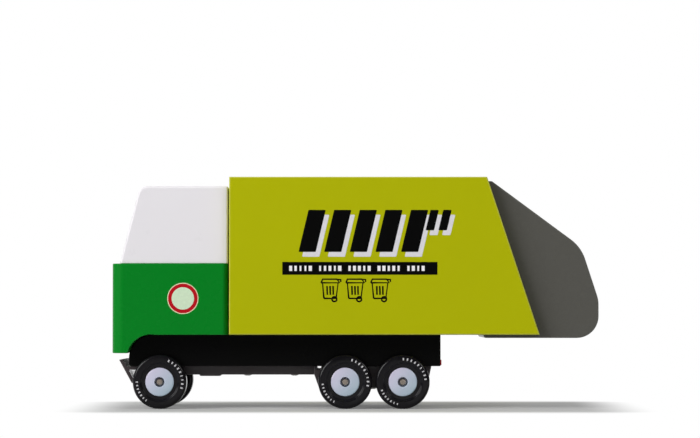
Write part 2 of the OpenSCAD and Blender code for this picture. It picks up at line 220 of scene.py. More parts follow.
class Surface(Graph):
    """A material's node tree, with patterns of a real size in the truck's frame."""

    def __init__(self, made: bpy.types.Material) -> None:
        """Start from a new material's Principled BSDF and the piece's own coordinates in metres."""
        super().__init__(made.node_tree)
        self.shader = self.tree.nodes["Principled BSDF"]
        self.where = self.add("ShaderNodeTexCoord").outputs["Object"]

    def put(self, **inputs: Any) -> None:
        """Set inputs of the shader, with underscores for the spaces in their names."""
        for name, value in inputs.items():
            self.feed(self.shader, name.replace("_", " "), value)

    def mark(self, name: str) -> Socket:
        """Return a number that the mesh stores at its vertices."""
        return self.add("ShaderNodeAttribute", attribute_name=name).outputs["Fac"]

    def noise(self, size_mm: float, detail: float = 2.0, stretch: Place = (1.0, 1.0, 1.0)) -> Socket:
        """Add a noise whose blotches have a real size.

        Args:
            size_mm: Width of a blotch.
            detail: Finer layers on top of it.
            stretch: Scale of the coordinates along each axis, under 1 to draw the pattern out.

        Returns:
            The noise value, about 0.5 on average.
        """
        placed = self.add("ShaderNodeMapping", {"Vector": self.where, "Scale": stretch}).outputs[0]
        inputs = {"Vector": placed, "Scale": 1 / (size_mm * MM), "Detail": detail, "Roughness": 0.55}
        return self.add("ShaderNodeTexNoise", inputs).outputs["Fac"]

    def mottle(self, size_mm: float, detail: float, stretch: Place = (1.0, 1.0, 1.0)) -> Socket:
        """Return a noise spread over 0 to 1."""
        return self.spread(self.noise(size_mm, detail, stretch), 0.0, 1.0)

    def relief(self, height: Socket, depth_mm: float, under: Socket | None = None) -> Socket:
        """Turn a pattern into relief.

        Args:
            height: The pattern, from 0 to 1.
            depth_mm: Height of the relief where the pattern is 1.
            under: A normal that this relief lies on.

        Returns:
            The changed normal.
        """
        inputs = {"Height": height, "Strength": 1.0, "Distance": depth_mm * MM}
        if under is not None:
            inputs["Normal"] = under
        return self.add("ShaderNodeBump", inputs).outputs["Normal"]


# ---- Materials ----


@dataclass(frozen=True)
class Finish:
    """What every surface finish has: a name, a colour and how rough it is."""

    name: str
    colour: str
    roughness: float

    def material(self) -> bpy.types.Material:
        """Return the finish's material, made on its first use."""
        known = bpy.data.materials.get(self.name)
        if known:
            return known
        made = bpy.data.materials.new(self.name)
        made.use_nodes = True
        made.diffuse_color = linear(self.colour)
        self.paint(Surface(made))
        return made

    def paint(self, on: Surface) -> None:
        """Build the finish's nodes."""
        raise NotImplementedError

    def tint(self, on: Surface, pattern: Socket, dark: float, light: float) -> Socket:
        """Return the colour, varied by a pattern from one factor to another."""
        return on.blend(pattern, shade(self.colour, dark), shade(self.colour, light))

    def rough(self, on: Surface, pattern: Socket, less: float, more: float) -> Socket:
        """Return the roughness, varied by a pattern from so much less to so much more."""
        return on.spread(pattern, self.roughness - less, self.roughness + more)


def wear(on: Surface, body: Socket, edge: str, size_mm: float, least: float, most: float) -> Socket:
    """Let another colour show through along rounded edges: a rubbed coat on steel, and on enamel partly thin
    paint and partly a painted highlight.

    Args:
        on: The material.
        body: The colour elsewhere.
        edge: The edges' colour.
        size_mm: Width of the patches that it shows in.
        least: How much of it shows between the patches.
        most: How much of it shows in them.

    Returns:
        The colour with its pale edges.
    """
    patches = on.spread(on.noise(size_mm), least, most)
    return on.blend(on.math("MULTIPLY", on.mark("edge"), patches), body, linear(edge))


@dataclass(frozen=True)
class SatinEnamel(Finish):
    """Satin enamel sprayed on sanded wood.

    The eye sees an even colour with a soft sheen, the spray's faint orange peel, long wood fibres that
    telegraph through it, and a paler line along each rounded edge, partly thin film and partly a painted
    highlight.
    """

    edge_colour: str = "#ffffff"
    grain: Place = (0.06, 1.0, 1.0)
    sheen_level: float = 0.1
    # Share of the pale edge tone on rounded edges: partly thin paint, partly painted highlight
    edge_wear: float = 0.3
    edge_tone_range: float = 0.25

    def paint(self, on: Surface) -> None:
        """Build the enamel: colour drift, pale edges with a painted highlight, orange peel and grain."""
        # Spray passes are some 45 mm wide and differ by under 1%.
        body = self.tint(on, on.mottle(45, 1), dark=0.992, light=1.008)
        # Fibres lie 0.8 mm apart and are drawn at 1.2 mm, so that they show; orange peel is 1.5 mm.
        fibres = on.relief(on.noise(1.2, 2, self.grain), depth_mm=0.008)
        on.put(
            # The paler edge tone, partly thin film and partly a painted highlight, breaks up in patches of
            # about 2 mm.
            Base_Color=wear(
                on, body, self.edge_colour, 2, self.edge_wear - self.edge_tone_range, self.edge_wear
            ),
            Roughness=self.rough(on, on.noise(9, 3), less=0.03, more=0.03),
            Normal=on.relief(on.noise(1.5, 1), depth_mm=0.004, under=fibres),
            Specular_IOR_Level=self.sheen_level,
        )


@dataclass(frozen=True)
class PrintedInk(Finish):
    """Ink pad-printed on the enamel: dense, a little matter than the paint, with a fine mottle."""

    sheen_level: float = 0.04

    def paint(self, on: Surface) -> None:
        """Build the ink: a mottle 0.8 mm wide, drawn at 1.2 mm so that it shows."""
        mottle = on.mottle(1.2, 3)
        on.put(
            Base_Color=self.tint(on, mottle, dark=0.96, light=1.04),
            Roughness=self.rough(on, mottle, less=0.04, more=0.04),
            Specular_IOR_Level=self.sheen_level,
        )


@dataclass(frozen=True)
class MouldedRubber(Finish):
    """Black rubber from a fine-eroded mould: near black, satin, with soft bright lines on its shoulders."""

    sheen_level: float = 0.16

    def paint(self, on: Surface) -> None:
        """Build the rubber: cloudy bloom, handling shine and the mould's grain."""
        bloom = on.mottle(6, 3)
        on.put(
            Base_Color=self.tint(on, bloom, dark=0.85, light=1.2),
            Roughness=self.rough(on, bloom, less=0.05, more=0.07),
            # The mould's grain is 0.1 mm and is drawn at 0.6 mm.
            Normal=on.relief(on.noise(0.6), depth_mm=0.008),
            Specular_IOR_Level=self.sheen_level,
        )


@dataclass(frozen=True)
class PearlPlastic(Finish):
    """Pale ABS with pearl flakes: cool grey and glossy, with a painted pink highlight and a painted blue
    reflection.
    """

    warm: str = "#c9bcd6"
    cool: str = "#aeccda"

    def paint(self, on: Surface) -> None:
        """Build the plastic: painted highlight and reflection tints, flakes and a polished skin."""
        # Flakes are 0.1 mm and are drawn at 0.5 mm. They carry a painted tint: a pink highlight toward the
        # upper front and a blue reflection toward the lower rear.
        tint = on.blend(on.mark("flow"), linear(self.cool), linear(self.warm))
        flakes = on.spread(on.noise(0.5), low=0.5, high=0.75)
        on.put(
            Base_Color=on.blend(flakes, linear(self.colour), tint),
            Roughness=self.rough(on, on.noise(3, 2), less=0.03, more=0.05),
            Normal=on.relief(on.noise(4), depth_mm=0.006),
        )


@dataclass(frozen=True)
class BrownedSteel(Finish):
    """Pressed sheet steel with a baked brown-black coat: dark, a little streaky, paler on its folds."""

    edge_colour: str = "#8d8585"

    def paint(self, on: Surface) -> None:
        """Build the coat: rolling streaks 3 mm apart, rubbed edges and a fine bake texture."""
        streaks = on.mottle(3, 3, stretch=(0.12, 1.0, 1.0))
        coat = self.tint(on, streaks, dark=0.85, light=1.15)
        on.put(
            Base_Color=wear(on, coat, self.edge_colour, size_mm=1.5, least=0.1, most=0.5),
            Roughness=self.rough(on, streaks, less=0.05, more=0.08),
            # The bake texture is 0.2 mm and is drawn at 0.7 mm.
            Normal=on.relief(on.noise(0.7), depth_mm=0.008),
        )


@dataclass(frozen=True)
class DrawnWire(Finish):
    """Bright steel wire, drawn lengthwise and cropped: grey metal with fine lines along it."""

    def paint(self, on: Surface) -> None:
        """Build the wire: drawing lines of 0.05 mm, drawn at 0.4 mm, and slight tarnish."""
        lines = on.noise(0.4, 3, stretch=(1.0, 0.05, 1.0))
        on.put(
            Base_Color=self.tint(on, on.mottle(1.5, 3), dark=0.85, light=1.1),
            Roughness=self.rough(on, lines, less=0.08, more=0.08),
            Normal=on.relief(lines, depth_mm=0.01),
            Metallic=1.0,
        )


# Edge colours are paler tones on rounded edges, partly thin paint and partly a painted highlight
GREEN_ENAMEL = SatinEnamel("green satin enamel on beech", "#007c1f", 0.27, "#3fa35a")
WHITE_ENAMEL = SatinEnamel("white satin enamel on beech", "#e6e3e7", 0.3, "#f4f1f4", sheen_level=0.2)
# The lime shows more of its pale edge tone, as a painted highlight along its rounded edges
LIME_ENAMEL = SatinEnamel("lime satin enamel on birch plywood", "#aeb100", 0.38, "#c9cb62", edge_wear=0.6)
GREY_ENAMEL = SatinEnamel("dark grey satin enamel on beech", "#565550", 0.27, "#8d8b86")
BLACK_ENAMEL = SatinEnamel("black satin enamel on beech", "#080808", 0.26, "#3a3838", sheen_level=0.04)
BLACK_INK = PrintedInk("black printed ink", "#040404", 0.5)
PALE_INK = PrintedInk("pale grey printed ink", "#dad8dc", 0.5)
WHITE_INK = PrintedInk("white printed ink", "#eeecef", 0.5)
GREY_INK = PrintedInk("light grey printed ink", "#c6c5c8", 0.5)
CREAM_INK = PrintedInk("cream printed ink", "#e9e0bd", 0.5)
MINT_INK = PrintedInk("mint printed ink", "#cde2c4", 0.5)
RED_INK = PrintedInk("red printed ink", "#b51420", 0.5)
TYRE_RUBBER = MouldedRubber("moulded black rubber", "#121114", 0.16)
HUB_PLASTIC = PearlPlastic("pearl grey moulded plastic", "#b9bfcd", 0.22)
COATED_STEEL = BrownedSteel("brown-black coated sheet steel", "#31282b", 0.38)
BARE_WIRE = DrawnWire("bright drawn steel wire", "#a89d92", 0.3)
BRIGHT_SHEET = DrawnWire("bright zinc-plated sheet steel", "#d2d3d4", 0.13)
ZINC_SCREW = DrawnWire("zinc-plated screw steel", "#b4b2ae", 0.32)


# ---- Outlines ----


def arc(centre: Point, radius: float, start: float, end: float, steps: int = 24) -> list[Point]:
    """Return points on an arc.

    Args:
        centre: Its centre.
        radius: Its radius.
        start: Its first angle in degrees, anticlockwise from the first axis.
        end: Its last angle in degrees.
        steps: The number of straight pieces.

    Returns:
        The points, both ends included.
    """
    angles = (math.radians(start + (end - start) * i / steps) for i in range(steps + 1))
    return [(centre[0] + radius * math.cos(a), centre[1] + radius * math.sin(a)) for a in angles]


def circle(centre: Point, radius: float, sides: int) -> list[Point]:
    """Return a circle's outline."""
    return arc(centre, radius, 0, 360 * (sides - 1) / sides, sides - 1)


def rounded(corners: Sequence[Corner], steps: int = 12) -> list[Point]:
    """Round the corners of a closed outline, hollow corners as well as proud ones.

    Args:
        corners: Two coordinates and a radius for each corner; a radius of 0 leaves it sharp.
        steps: The number of straight pieces in each rounding.

    Returns:
        The points of the rounded outline.
    """
    points: list[Point] = []
    for i, (x, z, radius) in enumerate(corners):
        here = Vector((x, z))
        back = (Vector(corners[i - 1][:2]) - here).normalized()
        on = (Vector(corners[(i + 1) % len(corners)][:2]) - here).normalized()
        if radius <= 0:
            points.append((x, z))
            continue
        half = back.angle(on) / 2
        centre = here + (back + on).normalized() * radius / math.sin(half)
        first = here + back * radius / math.tan(half) - centre
        turn = first.angle_signed(here + on * radius / math.tan(half) - centre)
        for k in range(steps + 1):
            angle = -turn * k / steps
            points.append(
                (
                    centre.x + first.x * math.cos(angle) - first.y * math.sin(angle),
                    centre.y + first.x * math.sin(angle) + first.y * math.cos(angle),
                )
            )
    return points


def box_outline(low: Point, high: Point, radius: float = 0.0) -> list[Point]:
    """Return a rectangle's outline, with its corners rounded by one radius."""
    (x0, z0), (x1, z1) = low, high
    return rounded([(x0, z0, radius), (x1, z0, radius), (x1, z1, radius), (x0, z1, radius)])


def line_cross(p: Vector, d: Vector, q: Vector, e: Vector) -> Vector:
    """Return where the line from p along d meets the line from q along e."""
    gap = q - p
    return p + d * (gap.x * e.y - gap.y * e.x) / (d.x * e.y - d.y * e.x)


# ---- Meshes ----


EdgePick = Callable[[bmesh.types.BMEdge], bool]


def sharp_edge(edge: bmesh.types.BMEdge) -> bool:
    """Say whether two faces meet at an edge by more than the sharp angle."""
    return len(edge.link_faces) == 2 and edge.calc_face_angle(0.0) > SHARP_ANGLE


def lies(edge: bmesh.types.BMEdge, **at: float) -> bool:
    """Say whether both ends of an edge have the given coordinates."""
    return all(abs(getattr(v.co, axis) - c) < CLOSE for axis, c in at.items() for v in edge.verts)


class Solid:
    """A mesh in the making, in millimetres in the truck's frame."""

    # A lathed face carries a painted sheen mark for the hub's highlight tint, near 1 at its upper front rim
    # and near 0 at its lower rear rim
    flow_middle = 0.5
    flow_reach = 0.35

    def __init__(self) -> None:
        """Start with nothing."""
        self.mesh = bmesh.new()
        self.edge_mark = self.mesh.verts.layers.float.new("edge")
        # Painted sheen mark, read by the hubs' painted highlight tint
        self.sheen_tint_mark = self.mesh.verts.layers.float.new("flow")

    def prism(self, outline: Sequence[Point], y0: float, y1: float) -> "Solid":
        """Add a side outline in X and Z, spread from y0 to y1."""
        return self.extrude(outline, y0, y1, lambda a, b, c: (a, c, b))

    def end_prism(self, outline: Sequence[Point], x0: float, x1: float) -> "Solid":
        """Add an end outline in Y and Z, spread from x0 to x1."""
        return self.extrude(outline, x0, x1, lambda a, b, c: (c, a, b))

    def extrude(
        self,
        outline: Sequence[Point],
        start: float,
        end: float,
        place: Callable[[float, float, float], Place],
    ) -> "Solid":
        """Add a prism.

        Args:
            outline: Its flat outline.
            start: Where it starts across that plane.
            end: Where it ends.
            place: Turns two outline coordinates and a depth into X, Y and Z.

        Returns:
            This solid.
        """
        first = [self.mesh.verts.new(place(a, b, start)) for a, b in outline]
        last = [self.mesh.verts.new(place(a, b, end)) for a, b in outline]
        self.mesh.faces.new(first)
        self.mesh.faces.new(last)
        for i in range(len(outline)):
            k = (i + 1) % len(outline)
            self.mesh.faces.new((first[i], first[k], last[k], last[i]))
        return self

    def lathe(self, section: Sequence[Point], centre: Place, out: int, steps: int = 96) -> "Solid":
        """Add a closed section turned about an axis along Y.

        Args:
            section: Radius and distance outward for each point.
            centre: Where distance 0 is.
            out: The sign of Y that is outward.
            steps: Straight pieces in a full turn.

        Returns:
            This solid.
        """
        rings = []
        reach = max(r for r, _ in section)
        for i in range(steps):
            c, s = math.cos(math.tau * i / steps), math.sin(math.tau * i / steps)
            ring = []
            for r, h in section:
                vert = self.mesh.verts.new((centre[0] + r * c, centre[1] + out * h, centre[2] + r * s))
                # Painted sheen: highest toward the upper front, where the hubs get a painted pink highlight
                vert[self.sheen_tint_mark] = self.flow_middle + self.flow_reach * r / reach * (s - c)
                ring.append(vert)
            rings.append(ring)
        for i, ring in enumerate(rings):
            other = rings[(i + 1) % steps]
            for k in range(len(section)):
                m = (k + 1) % len(section)
                self.mesh.faces.new((ring[k], ring[m], other[m], other[k]))
        return self

    def round_edges(self, radius: float, steps: int = 4, pick: EdgePick = sharp_edge) -> "Solid":
        """Round edges and mark them as edges for the paint.

        Args:
            radius: The rounding's radius.
            steps: The number of straight pieces across it.
            pick: Says which edges.

        Returns:
            This solid.
        """
        bmesh.ops.recalc_face_normals(self.mesh, faces=self.mesh.faces)
        edges = [e for e in self.mesh.edges if pick(e)]
        made = bmesh.ops.bevel(
            self.mesh,
            geom=edges,
            offset=radius,
            offset_type="OFFSET",
            segments=steps,
            profile=0.5,
            affect="EDGES",
            clamp_overlap=True,
        )
        new = set(made["faces"])
        for vert in {v for f in new for v in f.verts}:
            if all(f in new for f in vert.link_faces):
                vert[self.edge_mark] = 1.0
        return self

    def settle(self) -> None:
        """Merge doubles and turn every face outward."""
        bmesh.ops.remove_doubles(self.mesh, verts=self.mesh.verts, dist=MERGE)
        bmesh.ops.recalc_face_normals(self.mesh, faces=self.mesh.faces)

    def piece(
        self,
        name: str,
        body: Body,
        slot: Slot,
        finish: Finish,
        stands_for: Iterable[str] = (),
    ) -> bpy.types.Object:
        """Finish the mesh as a named piece.

        Args:
            name: The piece's name.
            body: The group it moves with.
            slot: The record's material slot; not used.
            finish: Its surface.
            stands_for: CAD nodes that it replaces.

        Returns:
            The new object.
        """
        self.settle()
        bmesh.ops.scale(self.mesh, vec=(MM, MM, MM), verts=self.mesh.verts)
        data = bpy.data.meshes.new(name)
        self.mesh.to_mesh(data)
        self.mesh.free()
        data.shade_smooth()
        data.set_sharp_from_angle(angle=SMOOTH_ANGLE)
        return dress(data, name, body, finish, stands_for)


def link_object(name: str, data: bpy.types.ID) -> bpy.types.Object:
    """Return a new object that stands in the scene."""
    made = bpy.data.objects.new(name, data)
    bpy.context.scene.collection.objects.link(made)
    return made


def dress(
    data: bpy.types.Mesh,
    name: str,
    body: Body,
    finish: Finish,
    stands_for: Iterable[str] = (),
) -> bpy.types.Object:
    """Make an object from a finished mesh and put it on its body.

    Args:
        data: The mesh, in metres in the truck's frame.
        name: The piece's name.
        body: The group it moves with.
        finish: Its surface.
        stands_for: CAD nodes that it replaces.

    Returns:
        The new object.
    """
    made = link_object(name, data)
    data.materials.clear()
    data.materials.append(finish.material())
    weighted = made.modifiers.new("even faces", "WEIGHTED_NORMAL")
    weighted.keep_sharp = True
    weighted.weight = 80
    nodes = tuple(stands_for)
    if nodes:
        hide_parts(*nodes)
    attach(made, body.value)
    LOG.info("%s on %s: %d faces, %s", name, body.value, len(data.polygons), finish.name)
    return made


# ---- Repeated shapes ----


class Pattern(Graph):
    """A Geometry Nodes tree that lays out one repeated shape and ends in a plain mesh."""

    def __init__(self, name: str, **inputs: str) -> None:
        """Start a tree.

        Args:
            name: The tree's name.
            **inputs: The types of its inputs beside the points, by name.
        """
        super().__init__(bpy.data.node_groups.new(name, "GeometryNodeTree"))
        interface = self.tree.interface
        for way in ("INPUT", "OUTPUT"):
            interface.new_socket("Geometry", in_out=way, socket_type="NodeSocketGeometry")
        self.sockets = {
            key: interface.new_socket(key, in_out="INPUT", socket_type=f"NodeSocket{kind}").identifier
            for key, kind in inputs.items()
        }
        self.entry = self.add("NodeGroupInput").outputs

    def scatter(self, shape: Socket, **inputs: Socket) -> None:
        """Close the tree with one shape on each point, turned or scaled by more inputs if given."""
        points = self.add("GeometryNodeMeshToPoints", {"Mesh": self.entry["Geometry"]}).outputs[0]
        inputs = {"Points": points, "Instance": shape, **inputs}
        self.end(self.add("GeometryNodeInstanceOnPoints", inputs).outputs[0])

    def end(self, shapes: Socket) -> None:
        """Close the tree with Realize Instances and Set Material."""
        real = self.add("GeometryNodeRealizeInstances", {"Geometry": shapes}).outputs[0]
        inputs = {"Geometry": real, "Material": self.entry["Material"]}
        painted = self.add("GeometryNodeSetMaterial", inputs).outputs[0]
        self.add("NodeGroupOutput", {"Geometry": painted})

    def mesh(
        self, places: Sequence[Place], edges: Sequence[tuple[int, int]] = (), **values: Any
    ) -> bpy.types.Mesh:
        """Run the tree on a set of points.

        Args:
            places: The points, in millimetres.
            edges: Pairs of points that a line joins.
            **values: The tree's inputs by name.

        Returns:
            The result as a plain mesh, in metres.
        """
        seed = bpy.data.meshes.new(self.tree.name)
        seed.from_pydata([[c * MM for c in p] for p in places], edges, [])
        holder = link_object(self.tree.name, seed)
        modifier = holder.modifiers.new(self.tree.name, "NODES")
        modifier.node_group = self.tree
        for name, value in values.items():
            modifier[self.sockets[name]] = value
        graph = bpy.context.evaluated_depsgraph_get()
        graph.update()
        made = bpy.data.meshes.new_from_object(holder.evaluated_get(graph), depsgraph=graph)
        holder.modifiers.remove(modifier)
        bpy.data.objects.remove(holder)
        return made


def block_pattern() -> Pattern:
    """Return a pattern that puts a flat block on each point, turned to follow a ring if one is given."""
    made = Pattern(
        "printed blocks",
        Size="Vector",
        Centre="Vector",
        Follow="Float",
        Width_spread="Float",
        Seed="Int",
        Material="Material",
    )
    block = made.add("GeometryNodeMeshCube", {"Size": made.entry["Size"]}).outputs["Mesh"]
    place = made.add("GeometryNodeInputPosition").outputs["Position"]
    arm = made.vector_math("SUBTRACT", place, made.entry["Centre"]).outputs["Vector"]
    parts = made.add("ShaderNodeSeparateXYZ", {"Vector": arm}).outputs
    angle = made.math("ARCTAN2", parts["X"], parts["Z"])
    turn = made.math("MULTIPLY", angle, made.entry["Follow"])
    least = made.math("SUBTRACT", 1.0, made.entry["Width_spread"])
    limits = {"Min": least, "Max": 1.0, "Seed": made.entry["Seed"]}
    width = made.add("FunctionNodeRandomValue", limits, data_type="FLOAT").outputs[1]
    made.scatter(block, Rotation=made.vector(y=turn), Scale=made.vector(width, 1.0, 1.0))
    return made


def screw_pattern() -> Pattern:
    """Return a pattern that puts a domed cross-head screw, head down, on each point."""
    made = Pattern(
        "cross-head screws",
        Head_radius="Float",
        Head_height="Float",
        Recess_width="Float",
        Recess_depth="Float",
        Material="Material",
    )
    radius, height, width = (made.entry[k] for k in ("Head_radius", "Head_height", "Recess_width"))
    ball = made.add("GeometryNodeMeshUVSphere", {"Segments": 32, "Rings": 16, "Radius": 1.0}).outputs["Mesh"]
    flat = {"Geometry": ball, "Scale": made.vector(radius, radius, height)}
    dome = made.add("GeometryNodeTransform", flat).outputs["Geometry"]
    cut = made.add("GeometryNodeMeshBoolean", {"Mesh 1": dome}, operation="DIFFERENCE")
    deep = made.math("MULTIPLY", made.entry["Recess_depth"], 2.0)
    drop = made.vector(z=made.math("MULTIPLY", height, -1.0))
    for size in (made.vector(radius, width, deep), made.vector(width, radius, deep)):
        arm = made.add("GeometryNodeMeshCube", {"Size": size}).outputs["Mesh"]
        sunk = made.add("GeometryNodeTransform", {"Geometry": arm, "Translation": drop})
        made.feed(cut, "Mesh 2", sunk.outputs["Geometry"])
    made.scatter(cut.outputs["Mesh"])
    return made


def line_pattern() -> Pattern:
    """Return a pattern that draws a round pen line along each edge and flattens it onto a face."""
    made = Pattern("printed lines", Width="Float", Face="Float", Flat="Float", Material="Material")
    width = made.entry["Width"]
    nib = {"Resolution": 8, "Radius": 0.5}
    pen = made.add("GeometryNodeCurvePrimitiveCircle", nib, mode="RADIUS").outputs["Curve"]
    sized = {"Geometry": pen, "Scale": made.vector(width, width, width)}
    thin = made.add("GeometryNodeTransform", sized).outputs["Geometry"]
    path = made.add("GeometryNodeMeshToCurve", {"Mesh": made.entry["Geometry"]}).outputs["Curve"]
    drawn = {"Curve": path, "Profile Curve": thin, "Fill Caps": True}
    line = {
        "Geometry": made.add("GeometryNodeCurveToMesh", drawn).outputs["Mesh"],
        "Scale": made.vector(1.0, made.entry["Flat"], 1.0),
        "Translation": made.vector(y=made.entry["Face"]),
    }
    made.end(made.add("GeometryNodeTransform", line).outputs["Geometry"])
    return made


# ---- The truck ----


@dataclass(frozen=True)
class Box:
    """The lowest and highest corner of a CAD node at rest, in millimetres."""

    x0: float
    y0: float
    z0: float
    x1: float
    y1: float
    z1: float

    @classmethod
    def of(cls, node: str) -> "Box":
        """Return a CAD node's box."""
        low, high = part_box(node)
        return cls(*(c / MM for c in (*low, *high)))

    @property
    def middle(self) -> Point:
        """Return X and Z of the box's middle."""
        return ((self.x0 + self.x1) / 2, (self.z0 + self.z1) / 2)


def node_box(node: str) -> Any:
    """Return a dataclass field that holds a CAD node's box."""
    return field(default_factory=lambda: Box.of(node))


@dataclass(frozen=True)
class Prints:
    """The two Geometry Nodes patterns that the prints are laid out with."""

    blocks: Pattern = field(default_factory=block_pattern)
    lines: Pattern = field(default_factory=line_pattern)


@dataclass(frozen=True)
class Chassis:
    """The black wooden block that carries everything, with red lamps dabbed on its rear end."""

    block: Box = node_box("chassis_block")
    nose_radius: float = 12.0
    toe_radius: float = 1.5
    edge_radius: float = 0.5
    lamp_wide: float = 7.5
    lamp_high: float = 2.7
    lamp_thick: float = 0.45
    lamp_inset: float = 0.15
    lamp_corner: float = 0.9
    lamp_edge: float = 0.12
    lamp_root: float = 0.05

    @property
    def nose_centre(self) -> Point:
        """Return the centre of the rounded nose."""
        return (self.block.x0 + self.nose_radius, self.block.z1 - self.nose_radius)

    def build(self) -> None:
        """Build the block and its tail lamps."""
        box = self.block
        outline = rounded(
            [
                (box.x0, box.z0, self.toe_radius),
                (box.x1, box.z0, 0),
                (box.x1, box.z1, 0),
                (box.x0, box.z1, self.nose_radius),
            ],
            16,
        )
        block = Solid().prism(outline, box.y0, box.y1).round_edges(self.edge_radius, 3)
        block.piece("chassis", Body.TRUCK, Slot.BLACK, BLACK_ENAMEL, ["chassis_block"])
        low = box.z0 + self.edge_radius
        for side in Side:
            outer = side.value * (box.y1 - self.lamp_inset)
            inner = outer - side.value * self.lamp_wide
            lamp = Solid().end_prism(
                box_outline(
                    (min(outer, inner), low), (max(outer, inner), low + self.lamp_high), self.lamp_corner
                ),
                box.x1 - self.lamp_root,
                box.x1 + self.lamp_thick,
            )
            lamp.round_edges(self.lamp_edge, 2, lambda e: lies(e, x=box.x1 + self.lamp_thick))
            lamp.piece(f"tail_lamp_{side.word}", Body.TRUCK, Slot.BLACK, RED_INK)


@dataclass(frozen=True)
class Cab:
    """The green lower block, the white upper block and the prints on them."""

    chassis: Chassis
    prints: Prints
    lower: Box = node_box("cab_lower_block")
    upper: Box = node_box("cab_upper_block")
    arch_clearance: float = 0.15
    front_radius: float = 6.0
    rear_radius: float = 3.0
    edge_radius: float = 1.2
    lip_radius: float = 0.3
    rake: float = 14.4
    brow_radius: float = 4.8
    upper_radius: float = 3.0
    # Ink stands this far proud, and the front face lies that much behind the block's CAD face
    print_room: float = 0.1
    sign_behind_front: float = 35.7
    sign_above_chin: float = 27.4
    # The sign's rim, red ring and blank field, and a headlamp's rim and glass, from the outside in
    sign_radii: Corner = (7.8, 7.4, 5.6)
    sign_step: float = 0.03
    lamp_offset: float = 21.0
    lamp_height: float = 17.0
    lamp_radii: Point = (5.4, 4.5)
    # Share of the room for prints that lies before each layer of a headlamp, and before the slats
    lamp_rooms: Point = (0.5, 0.1)
    slat_room: float = 0.6
    grille_height: float = 11.5
    slat_count: int = 5
    slat_step: float = 2.2
    slat_size: Place = (0.1, 24.0, 1.2)
    seam_radius: float = 0.4

    def build(self) -> None:
        """Build both blocks and their prints."""
        self.build_lower()
        self.build_upper()
        for side in Side:
            self.print_sign(side)
            self.print_headlamp(side)
        self.print_grille()

    def build_lower(self) -> None:
        """Build the lower block: chin, arch over the chassis nose and rounded uprights."""
        box = self.lower
        front = box.x0 + self.print_room
        centre = self.chassis.nose_centre
        radius = self.chassis.nose_radius + self.arch_clearance
        under = self.chassis.block.z1
        start = 180 - math.degrees(math.asin((box.z0 - centre[1]) / radius))
        end = math.degrees(math.asin((under - centre[1]) / radius))
        outline = [(front, box.z0)]
        outline += arc(centre, radius, start, end, 24)
        outline += [(box.x1, under), (box.x1, box.z1), (front, box.z1)]
        block = Solid().prism(outline, box.y0, box.y1)
        tip = centre[0] + radius * math.cos(math.radians(start))
        block.round_edges(self.front_radius, 10, lambda e: lies(e, x=front, y=e.verts[0].co.y))
        block.round_edges(self.rear_radius, 8, lambda e: lies(e, x=box.x1, y=e.verts[0].co.y))
        block.round_edges(self.lip_radius, 3, lambda e: lies(e, x=tip, z=box.z0))
        block.round_edges(self.edge_radius, 5)
        block.piece("cab_lower", Body.TRUCK, Slot.GREEN, GREEN_ENAMEL, ["cab_lower_block"])

    def build_upper(self) -> None:
        """Build the upper block: raked windscreen face, rounded brow and roof edges."""
        box = self.upper
        brow = box.x0 + (box.z1 - box.z0) * math.tan(math.radians(self.rake))
        outline = rounded(
            [
                (box.x0, box.z0, 0),
                (box.x1, box.z0, 0),
                (box.x1, box.z1, self.edge_radius),
                (brow, box.z1, self.brow_radius),
            ],
            14,
        )
        block = Solid().prism(outline, box.y0, box.y1)

        def side_rim(edge: bmesh.types.BMEdge) -> bool:
            """Pick the side faces' edges other than the lowest."""
            return (lies(edge, y=box.y0) or lies(edge, y=box.y1)) and not lies(edge, z=box.z0)

        block.round_edges(self.upper_radius, 8, side_rim)
        block.round_edges(self.seam_radius, 3)
        block.piece("cab_upper", Body.TRUCK, Slot.WHITE, WHITE_ENAMEL, ["cab_upper_block"])

    def print_sign(self, side: Side) -> None:
        """Print the round sign on one side: cream rim, red ring and a blank mint disc."""
        box = self.lower
        centre = (box.x0 + self.sign_behind_front, box.z0 + self.sign_above_chin)
        layers = zip(("rim", "ring", "field"), self.sign_radii, (CREAM_INK, RED_INK, MINT_INK))
        for level, (word, radius, ink) in enumerate(layers, 1):
            disc = Solid().prism(
                circle(centre, radius, 96),
                side.value * (box.y1 - INK_ROOT),
                side.value * (box.y1 + self.sign_step * level),
            )
            disc.piece(f"sign_{word}_{side.word}", Body.TRUCK, Slot.GREEN, ink)

    def print_headlamp(self, side: Side) -> None:
        """Print a plain round headlamp on the front: black rim and pale glass."""
        box = self.lower
        centre = (side.value * self.lamp_offset, box.z0 + self.lamp_height)
        layers = zip(("rim", "glass"), self.lamp_radii, self.lamp_rooms, (BLACK_INK, PALE_INK))
        for word, radius, room, ink in layers:
            disc = Solid().end_prism(
                circle(centre, radius, 64),
                box.x0 + self.print_room * room,
                box.x0 + self.print_room + INK_ROOT,
            )
            disc.piece(f"headlamp_{word}_{side.word}", Body.TRUCK, Slot.GREEN, ink)

    def print_grille(self) -> None:
        """Print the grille of black slats between the headlamps."""
        x, low = self.lower.x0 + self.print_room * self.slat_room, self.lower.z0 + self.grille_height
        slats = self.prints.blocks.mesh(
            [(x, 0.0, low + self.slat_step * i) for i in range(self.slat_count)],
            Size=[c * MM for c in self.slat_size],
            Follow=0.0,
            Width_spread=0.0,
            Material=BLACK_INK.material(),
        )
        dress(slats, "grille_slats", Body.TRUCK, BLACK_INK)


